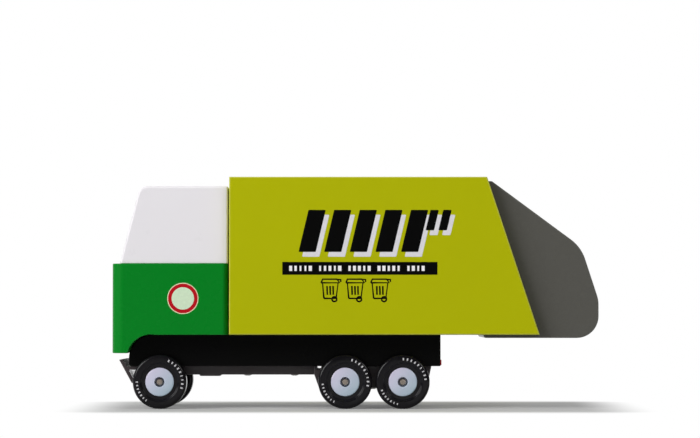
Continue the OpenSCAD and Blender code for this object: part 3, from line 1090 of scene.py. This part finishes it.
@dataclass(frozen=True)
class LoadBody:
    """The lime box with its slanted rear, and the livery on its sides."""

    prints: Prints
    side_box: Box = node_box("body_side_right")
    roof: Box = node_box("body_roof")
    floor: Box = node_box("body_floor")
    wall: Box = node_box("body_front_wall")
    rear_lean: float = 18.3
    rim_radius: float = 0.7
    edge_radius: float = 0.3
    side_edge_radius: float = 0.25
    # Ink stands this far proud, and the paint lies that much inside the CAD face
    print_room: float = 0.05

    def build(self) -> None:
        """Build the five panels and the livery."""
        outer = self.side_box.y1 - self.print_room
        for side in Side:
            self.build_side(side, outer)
            Livery(self.prints, outer, side, self.side_box).build()
        self.panel_piece("roof", self.roof)
        self.panel_piece("floor", self.floor)
        self.panel_piece("front_wall", self.wall)

    def build_side(self, side: Side, outer: float) -> None:
        """Build one side panel with its slanted rear edge."""
        box = self.side_box
        top_rear = box.x1 - (box.z1 - box.z0) * math.tan(math.radians(self.rear_lean))
        outline = [(box.x0, box.z0), (box.x1, box.z0), (top_rear, box.z1), (box.x0, box.z1)]
        panel = Solid().prism(outline, side.value * box.y0, side.value * outer)
        panel.round_edges(self.rim_radius, 4, lambda e: lies(e, y=side.value * outer))
        panel.round_edges(self.side_edge_radius, 2)
        panel.piece(
            f"body_panel_{side.word}", Body.TRUCK, Slot.LIME, LIME_ENAMEL, [f"body_side_{side.word}"]
        )

    def panel_piece(self, word: str, box: Box) -> None:
        """Build a panel between the sides and let it stand for its CAD node."""
        half = box.y1 - self.print_room
        panel = Solid().prism(box_outline((box.x0, box.z0), (box.x1, box.z1)), -half, half)
        panel.round_edges(self.edge_radius, 2)
        panel.piece(f"body_{word}_panel", Body.TRUCK, Slot.LIME, LIME_ENAMEL, [f"body_{word}"])


@dataclass(frozen=True)
class Livery:
    """The plain print on one side panel: slanted bars with a pale shadow, a banner and three bins.

    Places run from the panel's front edge backward and from its lower edge upward.
    """

    prints: Prints
    face: float
    side: Side
    panel: Box
    bars: tuple[float, ...] = (34.7, 47.5, 60.3, 73.1, 85.9)
    bar_width: float = 8.6
    bar_low: float = 41.4
    bar_high: float = 62.4
    small_bars: tuple[float, ...] = (98.2, 104.6)
    small_width: float = 4.2
    small_low: float = 52.2
    slant: float = 0.238
    bar_corner: float = 0.4
    # How far proud the first ink stands, and how much further an ink over it
    ink_proud: Point = (0.022, 0.014)
    shadow: Point = (1.8, -2.4)
    banner_ends: Point = (26.6, 104.1)
    banner_low: float = 30.0
    banner_high: float = 36.4
    dash_step: float = 2.45
    dash_size: Place = (1.7, 0.05, 2.6)
    # Room before the first dash, and room in all that has none
    dash_margins: Point = (4.2, 7.0)
    # Of so many places in a row the last stays empty
    dash_group: int = 6
    dash_spread: float = 0.5
    dash_seed: int = 7
    bins: tuple[float, ...] = (46.5, 58.9, 71.3)
    bin_low: float = 16.6
    line_width: float = 0.85
    # A round pen line is pressed this flat, with its middle this far before the face
    line_flat: float = 0.08
    line_proud: float = 0.01

    def film(self, outline: Sequence[Point], word: str, ink: Finish, level: int) -> None:
        """Print one flat shape.

        Args:
            outline: Its outline behind the panel's front edge and above its lower edge.
            word: What it is called.
            ink: Its ink.
            level: 0 for the first ink on the paint and 1 for ink over it.
        """
        shape = Solid().prism(
            [(self.panel.x0 + a, self.panel.z0 + b) for a, b in outline],
            self.side.value * (self.face - INK_ROOT),
            self.side.value * (self.face + self.ink_proud[0] + self.ink_proud[1] * level),
        )
        shape.piece(f"print_{word}_{self.side.word}", Body.TRUCK, Slot.LIME, ink)

    def build(self) -> None:
        """Print everything."""
        tall = [(x, self.bar_low, self.bar_width) for x in self.bars]
        small = [(x, self.small_low, self.small_width) for x in self.small_bars]
        for i, (x, low, width) in enumerate(tall + small):
            lean = (self.bar_high - low) * self.slant
            ends = ((x, low), (x + width, low), (x + width + lean, self.bar_high), (x + lean, self.bar_high))
            bar = rounded([(*end, self.bar_corner) for end in ends], 4)
            self.film([(a + self.shadow[0], b + self.shadow[1]) for a, b in bar], f"shadow_{i}", PALE_INK, 0)
            self.film(bar, f"bar_{i}", BLACK_INK, 1)
        x0, x1 = self.banner_ends
        self.film(box_outline((x0, self.banner_low), (x1, self.banner_high)), "banner", BLACK_INK, 0)
        self.print_dashes()
        self.print_bins()

    def print_dashes(self) -> None:
        """Print a row of plain white dashes of uneven width along the banner."""
        x0, x1 = (self.panel.x0 + x for x in self.banner_ends)
        start, spare = self.dash_margins
        count = int((x1 - x0 - spare) / self.dash_step)
        y = self.side.value * (self.face + INK_ROOT)
        z = self.panel.z0 + (self.banner_low + self.banner_high) / 2
        dashes = self.prints.blocks.mesh(
            [(x0 + start + self.dash_step * i, y, z) for i in range(count) if (i + 1) % self.dash_group],
            Size=[c * MM for c in self.dash_size],
            Follow=0.0,
            Width_spread=self.dash_spread,
            Seed=self.dash_seed,
            Material=WHITE_INK.material(),
        )
        dress(dashes, f"print_dashes_{self.side.word}", Body.TRUCK, WHITE_INK)

    def print_bins(self) -> None:
        """Print three line-drawn wheeled bins under the banner."""
        body = [(0.9, 1.6), (0.2, 9.4), (8.0, 9.4), (7.0, 1.6), (0.9, 1.6)]
        lid = [(-0.5, 9.4), (0.3, 11.2), (7.4, 11.2), (8.7, 9.4), (-0.5, 9.4)]
        ribs = [[(x, 3.4), (x - 0.15, 7.8)] for x in (2.6, 4.1, 5.6)]
        wheel = arc((6.1, 1.2), 1.2, 0, 360, 16)
        handle = [(7.9, 11.0), (9.3, 11.0), (9.3, 9.8)]
        strokes = [body, lid, handle, wheel, *ribs]
        places: list[Place] = []
        edges: list[tuple[int, int]] = []
        low = self.panel.z0 + self.bin_low
        for x in (self.panel.x0 + x for x in self.bins):
            for stroke in strokes:
                first = len(places)
                places += [(x + a, 0.0, low + b) for a, b in stroke]
                edges += [(first + i, first + i + 1) for i in range(len(stroke) - 1)]
        drawn = self.prints.lines.mesh(
            places,
            edges,
            Width=self.line_width * MM,
            Face=self.side.value * (self.face + self.line_proud) * MM,
            Flat=self.line_flat,
            Material=BLACK_INK.material(),
        )
        dress(drawn, f"print_bins_{self.side.word}", Body.TRUCK, BLACK_INK)


@dataclass(frozen=True)
class Tailgate:
    """The grey tailgate: two cheeks with a hood and a tub between them."""

    cheek: Box = node_box("tailgate_cheek_right")
    hood: Box = node_box("tailgate_hood")
    tub: Box = node_box("tailgate_tub")
    flat: float = 4.2
    slope: float = 36.5
    rake: float = 18.0
    belly_above_bottom: float = 19.1
    skin: float = 4.0
    tub_radius: float = 11.0
    belly_radius: float = 15.0
    bend_radius: float = 20.0
    tip_radius: float = 1.2
    barrel: float = 5.25
    cheek_rim: float = 0.8
    shell_rim: float = 0.35
    shell_room: float = 0.02

    @property
    def hinge(self) -> Point:
        """Return the hinge's middle: the barrel is the hood's foremost and highest round."""
        return (self.cheek.x0 + self.barrel, self.cheek.z1 - self.barrel)

    @property
    def lines(self) -> tuple[Vector, Vector, Vector, Vector]:
        """Return a point and a direction for the slope and for the rear face."""
        slope, rake = math.radians(self.slope), math.radians(self.rake)
        return (
            Vector((self.tub.x0 + self.flat, self.cheek.z1)),
            Vector((math.cos(slope), -math.sin(slope))),
            Vector((self.tub.x1, self.tub.z0 + self.belly_above_bottom)),
            Vector((-math.sin(rake), math.cos(rake))),
        )

    def build(self) -> None:
        """Build the cheeks, the hood and the tub."""
        for side in Side:
            self.build_cheek(side)
        self.build_hood()
        self.build_tub()

    def build_cheek(self, side: Side) -> None:
        """Build one cheek, with the ear that the hinge rod goes through."""
        start, along, low, up = self.lines
        corner = line_cross(start, along, low, up)
        outline = rounded(
            [
                (self.tub.x0, self.tub.z0, self.tip_radius),
                (low.x, self.tub.z0, self.tub_radius),
                (low.x, low.y, self.belly_radius),
                (corner.x, corner.y, self.bend_radius),
                (start.x, start.y, self.tip_radius),
                (self.tub.x0, self.cheek.z1, 0),
            ],
            14,
        )
        outline += arc(self.hinge, self.barrel, 90, 270, 24)[1:]
        cheek = Solid().prism(outline, side.value * self.cheek.y0, side.value * self.cheek.y1)
        cheek.round_edges(self.cheek_rim, 4)
        cheek.piece(
            f"tailgate_cheek_panel_{side.word}",
            Body.TAILGATE,
            Slot.GREY,
            GREY_ENAMEL,
            [f"tailgate_cheek_{side.word}"],
        )

    def build_hood(self) -> None:
        """Build the hood with its hinge barrel, down to the mouth's upper edge."""
        start, along, low, up = self.lines
        corner = line_cross(start, along, low, up)
        under_start = start + Vector((along.y, -along.x)) * self.skin
        under_low = low + Vector((-up.y, up.x)) * self.skin
        under = line_cross(under_start, along, under_low, up)
        lip = self.hood.z0
        rear = low + up * (lip - low.y) / up.y
        inner = under_low + up * (lip - under_low.y) / up.y
        hinge = Vector(self.hinge)
        back = under_start - hinge
        reach = -back.dot(along) + math.sqrt(back.dot(along) ** 2 - back.length_squared + self.barrel**2)
        meet = back + along * reach
        first = math.degrees(math.atan2(meet.y, meet.x))
        outline = arc(self.hinge, self.barrel, first, -270, 40)[:-1]
        rest = [
            (hinge.x, self.cheek.z1, 0),
            (start.x, start.y, self.tip_radius),
            (corner.x, corner.y, self.bend_radius),
            (rear.x, rear.y, 0),
            (inner.x, inner.y, 0),
            (under.x, under.y, self.bend_radius - self.skin),
            (hinge.x + meet.x, hinge.y + meet.y, 0),
        ]
        outline += rounded(rest, 14)[:-1]
        self.build_shell(outline, self.hood, "hood")

    def build_tub(self) -> None:
        """Build the tub, from the floor's end round to the mouth's sill."""
        box = self.tub
        outline = rounded(
            [
                (box.x0, box.z0, self.tip_radius),
                (box.x1, box.z0, self.tub_radius),
                (box.x1, box.z1, 0),
                (box.x1 - self.skin, box.z1, 0),
                (box.x1 - self.skin, box.z0 + self.skin, self.tub_radius - self.skin),
                (box.x0, box.z0 + self.skin, 0),
            ],
            14,
        )
        self.build_shell(outline, box, "tub")

    def build_shell(self, outline: Sequence[Point], box: Box, word: str) -> None:
        """Build one shell between the cheeks."""
        half = box.y1 - self.shell_room
        shell = Solid().prism(outline, -half, half).round_edges(self.shell_rim, 3)
        shell.piece(
            f"tailgate_{word}_shell", Body.TAILGATE, Slot.GREY, GREY_ENAMEL, [f"tailgate_{word}"]
        )


@dataclass(frozen=True)
class Undercarriage:
    """Carriers, rail and bumper plate of dark sheet steel, with their screws."""

    front: Box = node_box("front_axle_carrier")
    bogie: Box = node_box("bogie_carrier")
    rail: Box = node_box("spine_rail")
    bumper: Box = node_box("front_bumper_plate")
    chassis: Box = node_box("chassis_block")
    heel_below_chassis: float = 4.4
    taper: float = 2.3
    relief: Point = (1.2, 3.4)
    relief_depth: float = 1.7
    lug: Point = (10.0, 21.6)
    lug_slope: float = 0.8
    lug_half_width: float = 11.0
    lug_root: float = 0.1
    bumper_lean: float = 28.5
    bumper_plate: float = 2.0
    bumper_bend: float = 0.6
    lining: float = 0.25
    lining_margin: float = 0.3
    lining_root: float = 0.05
    lining_inset: float = 0.4
    carrier_edge: float = 0.4
    sheet_edge: float = 0.3
    # Screws: distance from the middle, from a carrier's slanted ends, and places along the rail
    screw_offset: float = 12.0
    screw_margin: float = 2.8
    rail_screws: Point = (34.5, 58.5)
    screw_radius: float = 2.2
    screw_height: float = 0.9
    recess_width: float = 0.5
    recess_depth: float = 0.6

    def build(self) -> None:
        """Build the steel parts and their screws."""
        self.build_carriers()
        self.build_rail()
        self.build_bumper()
        self.build_screws()

    def build_carriers(self) -> None:
        """Build the front axle's carrier and the long one of the other axles, with its heel and notch."""
        notch_near, notch_far = (self.bogie.x0 + x for x in self.relief)
        top, floor = self.bogie.z1, self.bogie.z1 - self.relief_depth
        heel = [(self.bogie.x0, self.chassis.z0 - self.heel_below_chassis)]
        notch = [(notch_far, top), (notch_far, floor), (notch_near, floor), (notch_near, top)]
        for box, before, after, edge, name, node in (
            (self.front, [], [], self.carrier_edge, "front_carrier", "front_axle_carrier"),
            (self.bogie, heel, notch, self.sheet_edge, "rear_carrier", "bogie_carrier"),
        ):
            foot = [(box.x0 + self.taper, box.z0), (box.x1 - self.taper, box.z0)]
            outline = [(box.x0, box.z1), *before, *foot, (box.x1, box.z1), *after]
            self.steel(Solid().prism(outline, box.y0, box.y1).round_edges(edge, 3), name, node)

    def build_rail(self) -> None:
        """Build the rail between the carriers, with its lug."""
        box = self.rail
        low = self.chassis.z0 - self.heel_below_chassis
        near, far = (box.x0 + x for x in self.lug)
        rail = Solid().prism(box_outline((box.x0, low), (box.x1, box.z1)), box.y0, box.y1)
        rail.prism(
            [
                (near, low + self.lug_root),
                (near + self.lug_slope, box.z0),
                (far - self.lug_slope, box.z0),
                (far, low + self.lug_root),
            ],
            -self.lug_half_width,
            self.lug_half_width,
        )
        self.steel(rail.round_edges(self.sheet_edge, 3), "rail", "spine_rail")

    def build_bumper(self) -> None:
        """Build the bent plate under the chin."""
        box = self.bumper
        lean = math.radians(self.bumper_lean)
        thick = (self.bumper_plate - self.lining) / math.cos(lean)
        flange = self.chassis.z0 - self.bumper_plate + self.lining

        def back(height: float) -> float:
            """Return X of the coated plate's rear face at a height."""
            return box.x0 + thick + (box.z1 - height) * math.tan(lean)

        outline = [
            (box.x0, box.z1, 0),
            (back(box.z0) - thick, box.z0, 0),
            (back(box.z0), box.z0, 0),
            (back(flange), flange, self.bumper_bend),
            (box.x1, flange, 0),
            (box.x1, self.chassis.z0, 0),
            (back(self.chassis.z0), self.chassis.z0, self.bumper_bend),
            (back(box.z1), box.z1, 0),
        ]
        plate = Solid().prism(rounded(outline, 5), box.y0, box.y1).round_edges(self.sheet_edge, 3)
        self.steel(plate, "bumper", "front_bumper_plate")
        # The rear face and the flange's underside carry no coat
        step = self.lining / math.cos(lean)
        root, end = self.lining_root, box.x1 - self.lining_margin
        low, high = box.z0 + self.lining_margin, flange - self.lining
        sheet = [
            (back(low) - root, low),
            (back(low) + step, low),
            (back(high) + step, high),
            (end, high),
            (end, flange + root),
            (back(flange) - root, flange + root),
        ]
        bare = Solid().prism(sheet, box.y0 + self.lining_inset, box.y1 - self.lining_inset)
        bare.piece("bumper_lining", Body.TRUCK, Slot.BARE_STEEL, BRIGHT_SHEET)

    def build_screws(self) -> None:
        """Put cross-head screws under the carriers and the rail."""
        across = (-self.screw_offset, self.screw_offset)
        places = [(x, y, self.front.z0) for x in self.rows(self.front, 2) for y in across]
        places += [(x, y, self.bogie.z0) for x in self.rows(self.bogie, 3) for y in across]
        low = self.chassis.z0 - self.heel_below_chassis
        places += [(self.rail.x0 + x, 0.0, low) for x in self.rail_screws]
        screws = screw_pattern().mesh(
            places,
            Head_radius=self.screw_radius * MM,
            Head_height=self.screw_height * MM,
            Recess_width=self.recess_width * MM,
            Recess_depth=self.recess_depth * MM,
            Material=ZINC_SCREW.material(),
        )
        dress(screws, "carrier_screws", Body.TRUCK, ZINC_SCREW)

    def rows(self, box: Box, count: int) -> list[float]:
        """Return X of evenly spread screw rows under a carrier."""
        margin = self.taper + self.screw_margin
        first, last = box.x0 + margin, box.x1 - margin
        return [first + (last - first) * i / (count - 1) for i in range(count)]

    def steel(self, part: Solid, name: str, node: str) -> None:
        """Finish one coated steel part that stands for a CAD node."""
        part.piece(name, Body.TRUCK, Slot.DARK_STEEL, COATED_STEEL, [node])


class MarkArc(Enum):
    """An arc of printed marks on a sidewall: radius, first angle, step, count and height."""

    LONG = (11.45, 66.5, -10.2, 9, 1.2)
    SHORT = (11.3, 180.0, 9.0, 7, 1.0)

    @property
    def word(self) -> str:
        """Return the arc's name."""
        return self.name.lower()


@dataclass(frozen=True)
class Wheelset:
    """An axle with a hub and a tyre at each end."""

    word: str
    body: Body
    prints: Prints
    turn: float
    dome: float = 1.0
    recess_radius: float = 2.45
    recess_floor: float = 0.5
    boss_radius: float = 4.9
    ring_radius: float = 9.0
    step: float = 0.9
    shoulder: float = 1.6
    lip: float = 0.2
    axle_core: float = 0.001
    axle_chamfer: float = 0.3
    # Air between the hub and what it sits on and in
    play: float = 0.02
    rim_edge: float = 0.25
    rim_bevel: float = 0.07
    recess_lip: float = 0.2
    # How far past the recess and how far under the dome the lip is still round
    lip_bend: Point = (0.05, 0.06)
    dome_steps: int = 14
    wall_bend: float = 0.45
    mark_wide: float = 0.75
    mark_thick: float = 0.1
    mark_root: float = 0.03
    mark_spread: float = 0.5
    mark_seed: int = 3

    @property
    def axle(self) -> Box:
        """Return the axle's box."""
        return Box.of(f"{self.word}_axle")

    @property
    def hub(self) -> Box:
        """Return the right-hand hub's box."""
        return Box.of(f"{self.word}_hub_right")

    @property
    def tyre(self) -> Box:
        """Return the right-hand tyre's box."""
        return Box.of(f"{self.word}_tyre_right")

    @property
    def half_track(self) -> float:
        """Return the distance from the truck's middle to a tyre's middle."""
        return (self.tyre.y0 + self.tyre.y1) / 2

    @property
    def half_width(self) -> float:
        """Return half a tyre's width."""
        return (self.tyre.y1 - self.tyre.y0) / 2

    @property
    def axle_radius(self) -> float:
        """Return the axle's radius."""
        return (self.axle.z1 - self.axle.z0) / 2

    @property
    def hub_radius(self) -> float:
        """Return the hub's radius, with the lip that laps over the tyre's bore."""
        return (self.hub.z1 - self.hub.z0) / 2 + self.lip

    @property
    def hub_edge(self) -> float:
        """Return the distance from a wheel's middle to the edge of the hub's face."""
        return self.half_width - self.step

    def build(self) -> None:
        """Build the axle, the hubs and the tyres."""
        r, end, chamfer = self.axle_radius, self.axle.y1, self.axle_chamfer
        x, z = self.axle.middle
        near = [(r, end - chamfer), (r - chamfer, end), (self.axle_core, end)]
        section = [(a, -b) for a, b in reversed(near)] + near
        axle = Solid().lathe(section, (x, 0.0, z), 1, 48)
        axle.piece(f"{self.word}_axle_rod", self.body, Slot.BARE_STEEL, BARE_WIRE, [f"{self.word}_axle"])
        for side in Side:
            self.build_wheel(side)

    def build_wheel(self, side: Side) -> None:
        """Build one hub and one tyre with its marks."""
        x, z = self.axle.middle
        centre = (x, side.value * self.half_track, z)
        for section, name, slot, finish, node in (
            (self.hub_section(), "hub_cap", Slot.HUB, HUB_PLASTIC, "hub"),
            (self.tyre_section(), "tyre_ring", Slot.TYRE, TYRE_RUBBER, "tyre"),
        ):
            part = Solid().lathe(section, centre, side.value)
            stands_for = [f"{self.word}_{node}_{side.word}"]
            part.piece(f"{self.word}_{name}_{side.word}", self.body, slot, finish, stands_for)
        for marks in MarkArc:
            self.print_marks(side, marks)

    def print_marks(self, side: Side, marks: MarkArc) -> None:
        """Print one arc of plain white marks on a sidewall."""
        radius, start, step, count, height = marks.value
        x, z = self.axle.middle
        face = side.value * (self.half_track + self.half_width - self.mark_root)
        angles = [math.radians(start + self.turn + step * i) for i in range(count)]
        mesh = self.prints.blocks.mesh(
            [(x + radius * math.cos(a), face, z + radius * math.sin(a)) for a in angles],
            Size=(self.mark_wide * MM, self.mark_thick * MM, height * MM),
            Centre=(x * MM, face * MM, z * MM),
            Follow=1.0,
            Width_spread=self.mark_spread,
            Seed=self.mark_seed,
            Material=GREY_INK.material(),
        )
        dress(mesh, f"{self.word}_{marks.word}_marks_{side.word}", self.body, GREY_INK)

    def hub_section(self) -> list[Point]:
        """Return the hub's section: boss, tyre seat, domed face and the hollow round the axle."""
        bore = self.axle_radius + self.play
        inboard = self.hub.y0 - self.half_track
        ball = (self.hub_radius**2 + self.dome**2) / (2 * self.dome)

        def dome(r: float) -> float:
            """Return the dome's distance outward at a radius."""
            return self.hub_edge + self.dome - ball + math.sqrt(ball**2 - r**2)

        rim, bevel = self.hub_radius - self.play, self.rim_bevel
        section = [
            (bore, inboard),
            (self.boss_radius, inboard),
            (self.boss_radius, -self.hub_edge),
            (rim, -self.hub_edge),
            (rim, self.hub_edge - self.rim_edge),
            (rim - bevel, self.hub_edge - bevel),
        ]
        hollow = self.recess_radius
        outer, inner, steps = rim - self.rim_edge, hollow + self.recess_lip, self.dome_steps
        section += [(r, dome(r)) for r in (outer + (inner - outer) * i / steps for i in range(steps + 1))]
        section += [
            (hollow + self.lip_bend[0], dome(inner) - self.lip_bend[1]),
            (hollow, dome(inner) - self.rim_edge),
            (hollow, self.recess_floor),
            (bore, self.recess_floor),
        ]
        return section

    def tyre_section(self) -> list[Point]:
        """Return the tyre's section: ring by the hub, step, flat sidewall, shoulder and tread."""
        half, edge = self.half_width, self.hub_edge
        outer = (self.tyre.z1 - self.tyre.z0) / 2
        ring, wall, bend = self.ring_radius, self.ring_radius + self.step, self.wall_bend
        near = [(outer, half, self.shoulder), (wall, half, bend), (ring, edge, bend)]
        near.append((self.hub_radius, edge, 0))
        return rounded([(a, -b, r) for a, b, r in reversed(near)] + near, 6)


# ---- Stage ----


def set_up(name: str, data: bpy.types.ID, place: Place, target: Place) -> bpy.types.Object:
    """Stand a lamp or a camera in its place.

    Args:
        name: Its name.
        data: The lamp or the camera.
        place: Where it stands, in metres.
        target: What it faces.

    Returns:
        The new object.
    """
    made = link_object(name, data)
    made.location = place
    made.rotation_euler = (Vector(target) - made.location).to_track_quat("-Z", "Y").to_euler()
    return made


@dataclass(frozen=True)
class Softbox:
    """A lamp that faces the truck, with its place and size in metres and its power in watts."""

    name: str
    place: Place
    wide: float
    high: float
    watts: float
    mirrored: bool = True

    def build(self) -> None:
        """Add the lamp."""
        data = bpy.data.lights.new(self.name, "AREA")
        data.shape = "RECTANGLE"
        data.size, data.size_y, data.energy = self.wide, self.high, self.watts
        made = set_up(self.name, data, self.place, (0.0, 0.0, 0.06))
        made.visible_camera = False
        made.visible_glossy = self.mirrored


@dataclass(frozen=True)
class Stage:
    """Floor, studio light and camera."""

    camera_place: Place = (-0.00268, -1.4255, 0.04895)
    target: Place = (-0.00268, -0.038, 0.09495)
    lens: float = 142.92
    sensor: float = 36.0
    lamps: tuple[Softbox, ...] = (
        Softbox("left softbox", (-1.93, -1.33, 1.2), 1.8, 1.4, 62.0),
        Softbox("right softbox", (1.7, -1.7, 1.32), 0.84, 0.84, 17.0),
        Softbox("top softbox", (0.0, 0.30, 1.25), 1.0, 0.6, 1.2),
        # The backdrop behind the truck already shows in its polished edges, so the rear lamp doesn't
        Softbox("rear softbox", (-0.2, 2.5, 0.5), 1.6, 1.2, 40.0, mirrored=False),
    )
    floor_radius: float = 12.0
    # The paper is grey, so that the patch round the truck is a painted shade halo with the real shadows on
    # it
    paper: float = 0.5
    shadow_half: Point = (0.112, 0.062)
    shadow_fade: float = 0.038
    shadow_haze: float = 0.12
    # In reflections the backdrop brightens from the lower glow to the upper between these heights
    backdrop_rise: Point = (0.45, 0.9)
    backdrop_glow: Point = (0.06, 0.9)
    fill: float = 0.28

    def build(self) -> None:
        """Build the floor, the world, the lamps and the camera."""
        self.build_floor()
        self.build_world()
        for lamp in self.lamps:
            lamp.build()
        self.build_camera()

    def build_floor(self) -> None:
        """Build a round floor: grey paper round the truck, a painted shade halo with its real shadows on it,
        and plain white elsewhere.
        """
        data = bpy.data.meshes.new("floor")
        floor = link_object("floor", data)
        disc = bmesh.new()
        bmesh.ops.create_circle(disc, cap_ends=True, segments=128, radius=self.floor_radius)
        disc.to_mesh(data)
        disc.free()
        made = bpy.data.materials.new("white paper floor")
        made.use_nodes = True
        made.node_tree.nodes.clear()
        on = Graph(made.node_tree)
        size = on.vector_math("ABSOLUTE", on.add("ShaderNodeTexCoord").outputs["Object"])
        past = on.vector_math("SUBTRACT", size.outputs["Vector"], (*self.shadow_half, 0.0))
        outside = on.vector_math("MAXIMUM", past.outputs["Vector"], (0.0, 0.0, 0.0))
        far = on.vector_math("LENGTH", outside.outputs["Vector"]).outputs["Value"]
        open_floor = on.spread(far, self.shadow_haze, 1.0, 0.0, self.shadow_fade, "SMOOTHSTEP")
        path = on.add("ShaderNodeLightPath").outputs
        seen = on.math("MAXIMUM", path["Is Camera Ray"], path["Is Glossy Ray"])
        clear = on.math("MAXIMUM", seen, path["Is Transmission Ray"])
        # Within the patch the camera sees this grey paper, painted shade round the truck, lit with its real
        # shadows
        paper = on.add("ShaderNodeBsdfDiffuse", {"Color": (self.paper, self.paper, self.paper, 1.0)})
        white = on.add("ShaderNodeEmission", {"Color": (1, 1, 1, 1), "Strength": 1.0})
        layers = {
            0: on.math("MULTIPLY", open_floor, clear),
            1: paper.outputs["BSDF"],
            2: white.outputs["Emission"],
        }
        mixed = on.add("ShaderNodeMixShader", layers).outputs["Shader"]
        on.add("ShaderNodeOutputMaterial", {"Surface": mixed})
        data.materials.append(made)

    def build_world(self) -> None:
        """Build the world: white to the camera, a bright backdrop in reflections, soft light elsewhere."""
        world = bpy.data.worlds.new("white studio")
        bpy.context.scene.world = world
        world.use_nodes = True
        world.node_tree.nodes.clear()
        on = Graph(world.node_tree)
        where = on.add("ShaderNodeTexCoord").outputs["Generated"]
        depth = on.add("ShaderNodeSeparateXYZ", {"Vector": where}).outputs["Y"]
        backdrop = on.spread(depth, *self.backdrop_glow, *self.backdrop_rise, "SMOOTHSTEP")
        path = on.add("ShaderNodeLightPath").outputs
        mirror = on.math("MAXIMUM", path["Is Glossy Ray"], path["Is Transmission Ray"])
        strength = on.choose(path["Is Camera Ray"], on.choose(mirror, self.fill, backdrop), 1.0)
        sky = on.add("ShaderNodeBackground", {"Color": (1, 1, 1, 1), "Strength": strength})
        on.add("ShaderNodeOutputWorld", {"Surface": sky.outputs["Background"]})

    def build_camera(self) -> None:
        """Add the camera, level with the truck's middle."""
        data = bpy.data.cameras.new("camera")
        data.sensor_width = self.sensor
        data.lens = self.lens
        bpy.context.scene.camera = set_up("camera", data, self.camera_place, self.target)
        bpy.context.scene.view_settings.view_transform = "Standard"


def finish_hinge_rod() -> None:
    """Give the hinge rod, whose CAD shape is right, its drawn wire surface."""
    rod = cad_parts["tailgate_hinge_rod"]
    for holder in rod.material_slots:
        holder.material = BARE_WIRE.material()


def main() -> None:
    """Build the truck and its stage."""
    logging.basicConfig(level=logging.INFO, format="%(message)s")
    prints = Prints()
    chassis = Chassis()
    chassis.build()
    Cab(chassis, prints).build()
    LoadBody(prints).build()
    Tailgate().build()
    Undercarriage().build()
    # Each wheelset stands at its own angle, so the marks on its tyres differ
    Wheelset("front", Body.FRONT_WHEELSET, prints, 0.0).build()
    Wheelset("middle", Body.MIDDLE_WHEELSET, prints, 6.0).build()
    Wheelset("rear", Body.REAR_WHEELSET, prints, 22.0).build()
    finish_hinge_rod()
    Stage().build()


if __name__ == "__main__":
    main()
